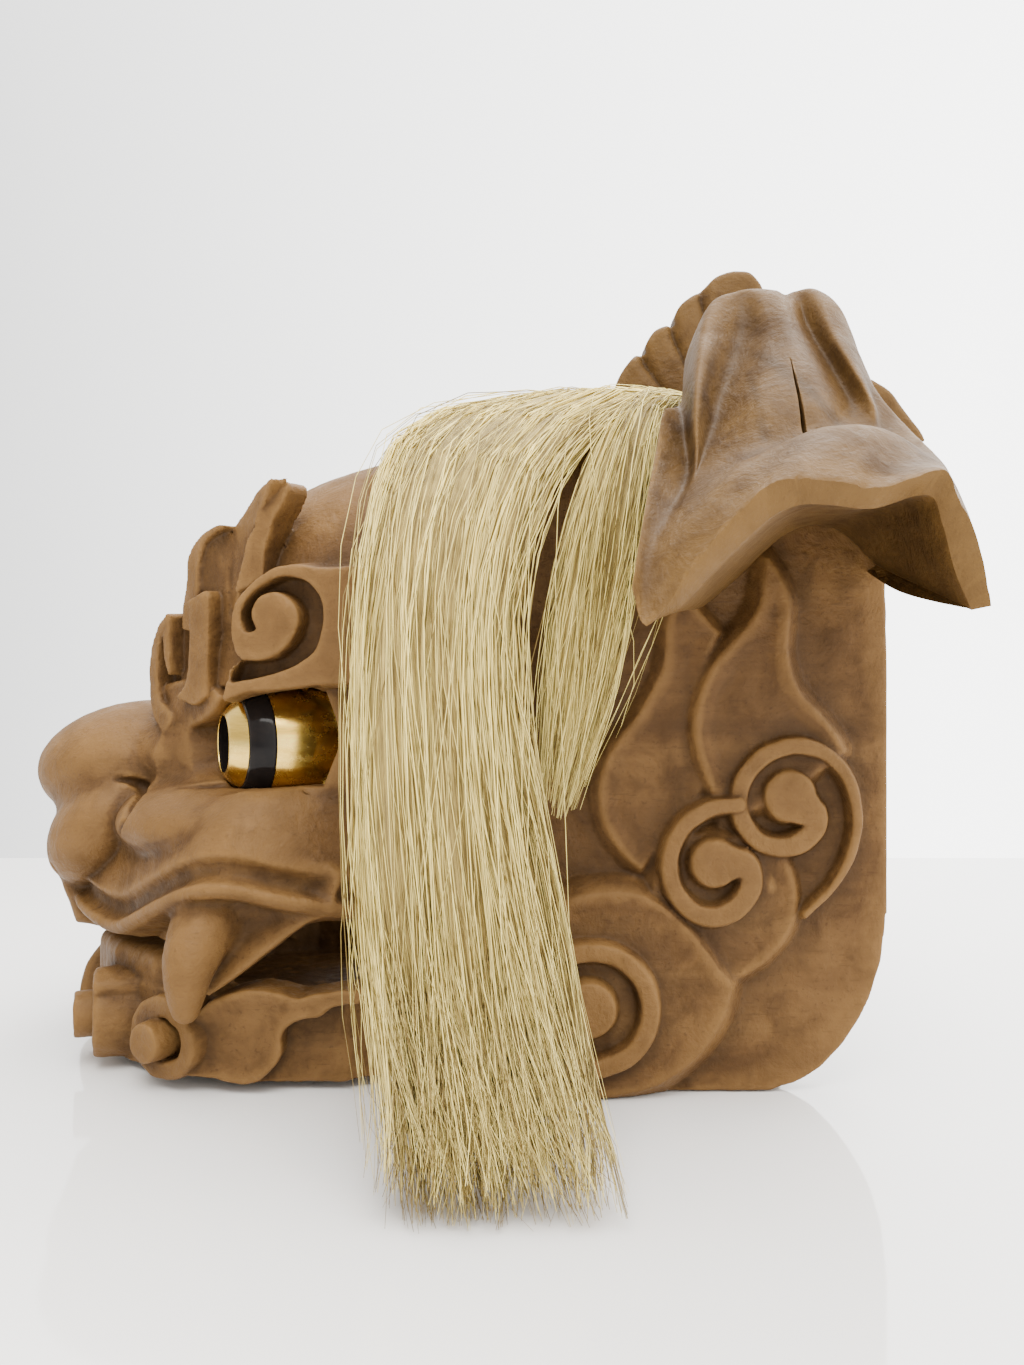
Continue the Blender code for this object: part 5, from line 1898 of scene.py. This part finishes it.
@dataclass(frozen=True)
class CarvedWood:
    """Oiled bare wood: long grain, pores, handling marks, hollows and grooves darkened partly by dirt and
    partly by painted shade, painted shade in the ear's valleys, and paler worn edges.
    """

    name: str
    pale: Triple
    middle: Triple
    dark: Triple
    grain: Triple = (1.0, 0.09, 1.0)
    pore_grain: Triple = (1.0, 0.144, 1.0)
    grain_share: float = 0.55
    specular: float = 0.14

    def material(self) -> bpy.types.Material:
        """The finish as a material."""
        lay = Wiring(self.name)
        along = lay.stretched(self.grain)
        broad = lay.noise(along, 55.0, 5.0, 0.6, 0.6)
        fibre = lay.noise(along, 420.0, 4.0, 0.62, 0.3)
        patches = lay.noise(lay.place, 16.0, 4.0, 0.6)
        blots = lay.noise(lay.place, 75.0, 5.0, 0.62, 0.4)
        specks = lay.noise(lay.place, 620.0, 3.0, 0.6)
        pores = lay.noise(lay.stretched(self.pore_grain), 900.0, 2.0)
        body = lay.ramp(broad, (0.3, self.dark), (0.52, self.middle), (0.72, self.pale))
        body = lay.mixed(self.grain_share, self.middle, body)
        body = lay.mixed(lay.spread(fibre, 0.35, 0.62, 0.0, 0.28), body, lay.mixed(0.5, body, self.dark))
        body = lay.mixed(lay.spread(patches, 0.42, 0.66, 0.0, 0.55), body, lay.mixed(0.6, body, self.pale))
        shape = lay.nodes.new("ShaderNodeNewGeometry").outputs["Pointiness"]
        # The ear's valley mark read here is painted shade in the leaf's valleys and slit.
        hollow, painted_valley_shade = lay.mark("hollow"), lay.mark("painted_valley_shade")
        # The darker colour below darkens hollows and grooves (low pointiness), partly as dirt and partly as
        # painted shade.
        dirt_and_painted_shade = tuple(c * 0.45 for c in self.dark)
        worn = tuple(min(c * 1.2, 1) for c in self.pale)
        for mark, start, full, most, colour in (
            (blots, 0.45, 0.68, 0.7, self.dark), (specks, 0.6, 0.7, 0.55, self.dark),
            (pores, 0.63, 0.7, 0.35, self.dark), (hollow, 0.35, 1.5, 0.45, dirt_and_painted_shade),
            (shape, 0.497, 0.44, 0.5, dirt_and_painted_shade), (painted_valley_shade, 0.0, 1.0, 0.45, dirt_and_painted_shade),
            (hollow, -0.3, -1.0, 0.3, worn), (shape, 0.505, 0.56, 0.55, worn),
        ):
            body = lay.mixed(lay.spread(mark, start, full, 0.0, most), body, colour)
        rough = lay.spread(blots, 0.3, 0.7, 0.5, 0.66)
        lay.feed(lay.shader, {"Base Color": body, "Roughness": rough, "Specular IOR Level": self.specular})
        lay.bumps((fibre, 0.12, 0.0005), (blots, 0.7, 0.002), (specks, 0.5, 0.0005), (pores, 0.2, 0.0003))
        return lay.material


@dataclass(frozen=True)
class Gilding:
    """Old leaf over a smooth ground: bright, a little streaked round the bulb, rubbed darker in places."""

    name: str = "gilding"
    deep: Triple = (0.44, 0.27, 0.045)
    middle: Triple = (0.68, 0.45, 0.10)
    bright: Triple = (0.84, 0.60, 0.17)
    rubbed: Triple = (0.16, 0.09, 0.02)

    def material(self) -> bpy.types.Material:
        """The finish as a material."""
        lay = Wiring(self.name)
        streak = lay.noise(lay.stretched((0.35, 0.35, 3.2)), 60.0, 5.0, 0.6)
        rub = lay.noise(lay.place, 180.0, 5.0, 0.65)
        tone = lay.ramp(streak, (0.3, self.deep), (0.5, self.middle), (0.7, self.bright))
        tone = lay.mixed(lay.spread(rub, 0.6, 0.74, 0.0, 0.45), tone, self.rubbed)
        rough = lay.spread(rub, 0.3, 0.7, 0.16, 0.34)
        lay.feed(lay.shader, {"Base Color": tone, "Metallic": 1.0, "Roughness": rough})
        lay.bumps((streak, 0.12, 0.0006), (rub, 0.08, 0.0003))
        return lay.material


@dataclass(frozen=True)
class BlackLacquer:
    """Deep glossy lacquer with a faint unevenness."""

    name: str = "black_lacquer"
    gloss: float = 1.0

    def material(self) -> bpy.types.Material:
        """The finish as a material."""
        lay = Wiring(self.name)
        cloud = lay.noise(lay.place, 90.0, 3.0)
        tone = lay.ramp(cloud, (0.3, (0.006, 0.005, 0.005)), (0.7, (0.016, 0.012, 0.010)))
        rough = lay.spread(cloud, 0.3, 0.7, 0.9 - 0.82 * self.gloss, 0.95 - 0.8 * self.gloss)
        lay.feed(lay.shader, {"Base Color": tone, "Roughness": rough, "Coat Roughness": 0.05})
        lay.feed(lay.shader, {"Specular IOR Level": 0.09 * self.gloss, "Coat Weight": 0.05 * self.gloss})
        lay.bumps((cloud, 0.05, 0.0004))
        return lay.material


@dataclass(frozen=True)
class Horsehair:
    """Horsehair: each hair its own tone, uneven along its length and darker near the table.

    `flat_tone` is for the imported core, whose hairs are drawn by a pattern along its own marks.
    """

    name: str
    low: Triple
    high: Triple
    flat_tone: bool = False
    specular: float = 0.3

    def material(self) -> bpy.types.Material:
        """The finish as a material."""
        lay = Wiring(self.name)
        if self.flat_tone:
            across, along = lay.mark("hair_across"), lay.mark("hair_along")
            flow = lay.nodes.new("ShaderNodeCombineXYZ")
            lay.join(lay.maths("MULTIPLY", across, 90.0), flow.inputs["X"])
            lay.join(lay.maths("MULTIPLY", along, 3.0), flow.inputs["Y"])
            tone = lay.spread(lay.noise(flow.outputs[0], 1.0, 4.0, 0.7, 0.4), 0.32, 0.68)
        else:
            tone = lay.mark("hair_tone")
        run = lay.noise(lay.stretched((1.0, 1.0, 0.06)), 260.0, 3.0)
        tone = lay.maths("ADD", tone, lay.spread(run, 0.3, 0.7, -0.18, 0.18))
        tone = lay.maths("ADD", tone, lay.spread(lay.axis("Z"), 0.0, 0.12, -0.26, 0.0))
        colour = lay.ramp(tone, (0.1, self.low), (0.9, self.high))
        rough = lay.spread(run, 0.3, 0.7, 0.38, 0.52)
        lay.feed(lay.shader, {"Base Color": colour, "Roughness": rough, "Specular IOR Level": self.specular})
        lay.bumps((tone, 0.7, 0.0006) if self.flat_tone else (run, 0.1, 0.0003))
        return lay.material


@dataclass
class Studio:
    """A pale table, soft lights and the camera at the photograph's place."""

    camera_place: Triple = (0.450, 0.0113, 0.133)
    lens: float = 30.2
    lit_point: Triple = (0.0, 0.01, 0.13)
    table_half: float = 1.6
    table_far: float = 0.42
    air_front: float = 2.0
    air_rear: float = 6.0
    air_near: Triple = (1.0, 1.0, 0.99)
    air_far: Triple = (0.62, 0.61, 0.59)

    def table(self) -> Piece:
        """The table top, just under the head's underside."""
        x0, x1, y = -self.table_far, self.table_half, self.table_half
        points = np.array([(x0, -y, 0), (x1, -y, 0), (x1, y, 0), (x0, y, 0)]) + [0, 0, -0.0004]
        made = mesh_of("table", points, [(0, 1, 2, 3)], smooth=False)
        lay = Wiring("table_white")
        cloud = lay.noise(lay.place, 3.0, 2.0)
        white = lay.ramp(cloud, (0.3, (0.76, 0.74, 0.72)), (0.7, (0.80, 0.785, 0.765)))
        rough = lay.spread(cloud, 0.3, 0.7, 0.05, 0.08)
        lay.feed(lay.shader, {"Base Color": white, "Roughness": rough, "Specular IOR Level": 0.8})
        made.data.materials.append(lay.material)
        return made

    def light(self, name: str, place: Triple, size: float, power: float,
              warmth: Triple) -> None:
        """One soft square light that looks at the head."""
        data = bpy.data.lights.new(name, "AREA")
        data.shape = "SQUARE"
        data.size = size
        data.energy = power
        data.color = warmth
        made = placed(name, data)
        made.location = place
        way = Vector(self.lit_point) - Vector(place)
        made.rotation_euler = way.to_track_quat("-Z", "Y").to_euler()

    def air(self) -> None:
        """The pale room around the head, brightest behind it."""
        lay = Wiring("studio_air", world=True)
        bpy.context.scene.world = lay.material
        shade = lay.ramp(lay.spread(lay.axis("X"), -1.0, 1.0), (0.1, self.air_near), (0.9, self.air_far))
        power = lay.spread(lay.axis("Y"), -0.45, 0.35, self.air_front, self.air_rear)
        lay.feed(lay.shader, {"Color": shade, "Strength": power})

    def camera(self) -> None:
        """The camera, level and square to the head's side."""
        data = bpy.data.cameras.new("camera")
        data.sensor_fit = "VERTICAL"
        data.sensor_height = 36
        data.lens = self.lens
        made = placed("camera", data)
        made.location = self.camera_place
        made.rotation_euler = (math.radians(90), 0, math.radians(90))
        bpy.context.scene.camera = made

    def build(self) -> None:
        """Sets the table, the lights, the air and the camera."""
        self.table()
        self.light("window", (0.8, -0.15, 1.4), 0.9, 32.0, (1.0, 0.98, 0.94))
        self.light("top", (-0.3, 0.3, 1.5), 1.2, 30.0, (1.0, 0.99, 0.97))
        self.air()
        self.camera()


def dress(piece: Piece, material: bpy.types.Material, slot: str, body: str, *nodes: str) -> None:
    """Gives a piece its finish, its body and the nodes that it stands for.

    Args:
        piece: the finished mesh.
        material: its finish.
        slot: the finish's name in the part; not used.
        body: the body it moves with.
        nodes: the solids it takes the place of.
    """
    piece.data.materials.clear()
    piece.data.materials.append(material)
    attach(piece, body)
    if nodes:
        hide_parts(*nodes)
    triangles = sum(len(face.vertices) - 2 for face in piece.data.polygons)
    LOG.info("%s: %d triangles on %s", piece.name, triangles, body)


def main() -> None:
    """Builds the head piece by piece and dresses the studio."""
    logging.basicConfig(level=logging.INFO, format="%(message)s")
    brown = CarvedWood(
        "brown_wood_oiled", (0.155, 0.082, 0.026), (0.098, 0.048, 0.0148), (0.041, 0.0185, 0.0052)
    ).material()
    tan = CarvedWood(
        "tan_wood_oiled", (0.112, 0.060, 0.017), (0.078, 0.040, 0.0105), (0.034, 0.0155, 0.0040)
    ).material()
    gold, black = Gilding().material(), BlackLacquer().material()
    dull = BlackLacquer("pupil_black", 0.1).material()
    pale_hair = Horsehair("horsehair_pale", (0.17, 0.11, 0.024), (0.88, 0.72, 0.235)).material()
    # The core under the loose hairs is given darker colours as painted shade inside the mane.
    core_hair_painted_shade = Horsehair("horsehair_core_painted_shade", (0.09, 0.055, 0.014), (0.60, 0.45, 0.14), True).material()
    dress(HeadCarving().build(), brown, "brown_wood", "head", "head")
    dress(JawCarving().build(), brown, "brown_wood", "jaw", "jaw")
    dress(CrestCarving().build(), tan, "tan_wood", "head", "crest")
    ear = EarCarving().build()
    eye = EyeCarving()
    mane = Mane()
    tree = HairTree().build(pale_hair)
    bulb, band, lining = eye.bulb(), eye.band(), eye.lining_ring()
    falls = [mane.strands(fall, tree) for fall in (mane.front, mane.rear)]
    cores = [fall.core() for fall in (mane.front, mane.rear)]
    for side in ("left", "right"):
        if side == "left":
            pieces = [ear, bulb, band, *falls, *cores, lining]
        else:
            pieces = [mirrored(piece, piece.name.replace("left", "right")) for piece in pieces]
        dress(pieces[0], tan, "tan_wood", "head", f"ear_{side}")
        dress(pieces[1], gold, "gilding", "head", f"eye_{side}")
        dress(pieces[2], black, "gilding", "head")
        dress(pieces[3], pale_hair, "horsehair", "head", f"hair_{side}")
        dress(pieces[4], pale_hair, "horsehair", "head")
        dress(pieces[5], core_hair_painted_shade, "horsehair", "head")
        dress(pieces[6], core_hair_painted_shade, "horsehair", "head")
        dress(pieces[7], dull, "gilding", "head")
    Studio().build()


if __name__ == "__main__":
    main()
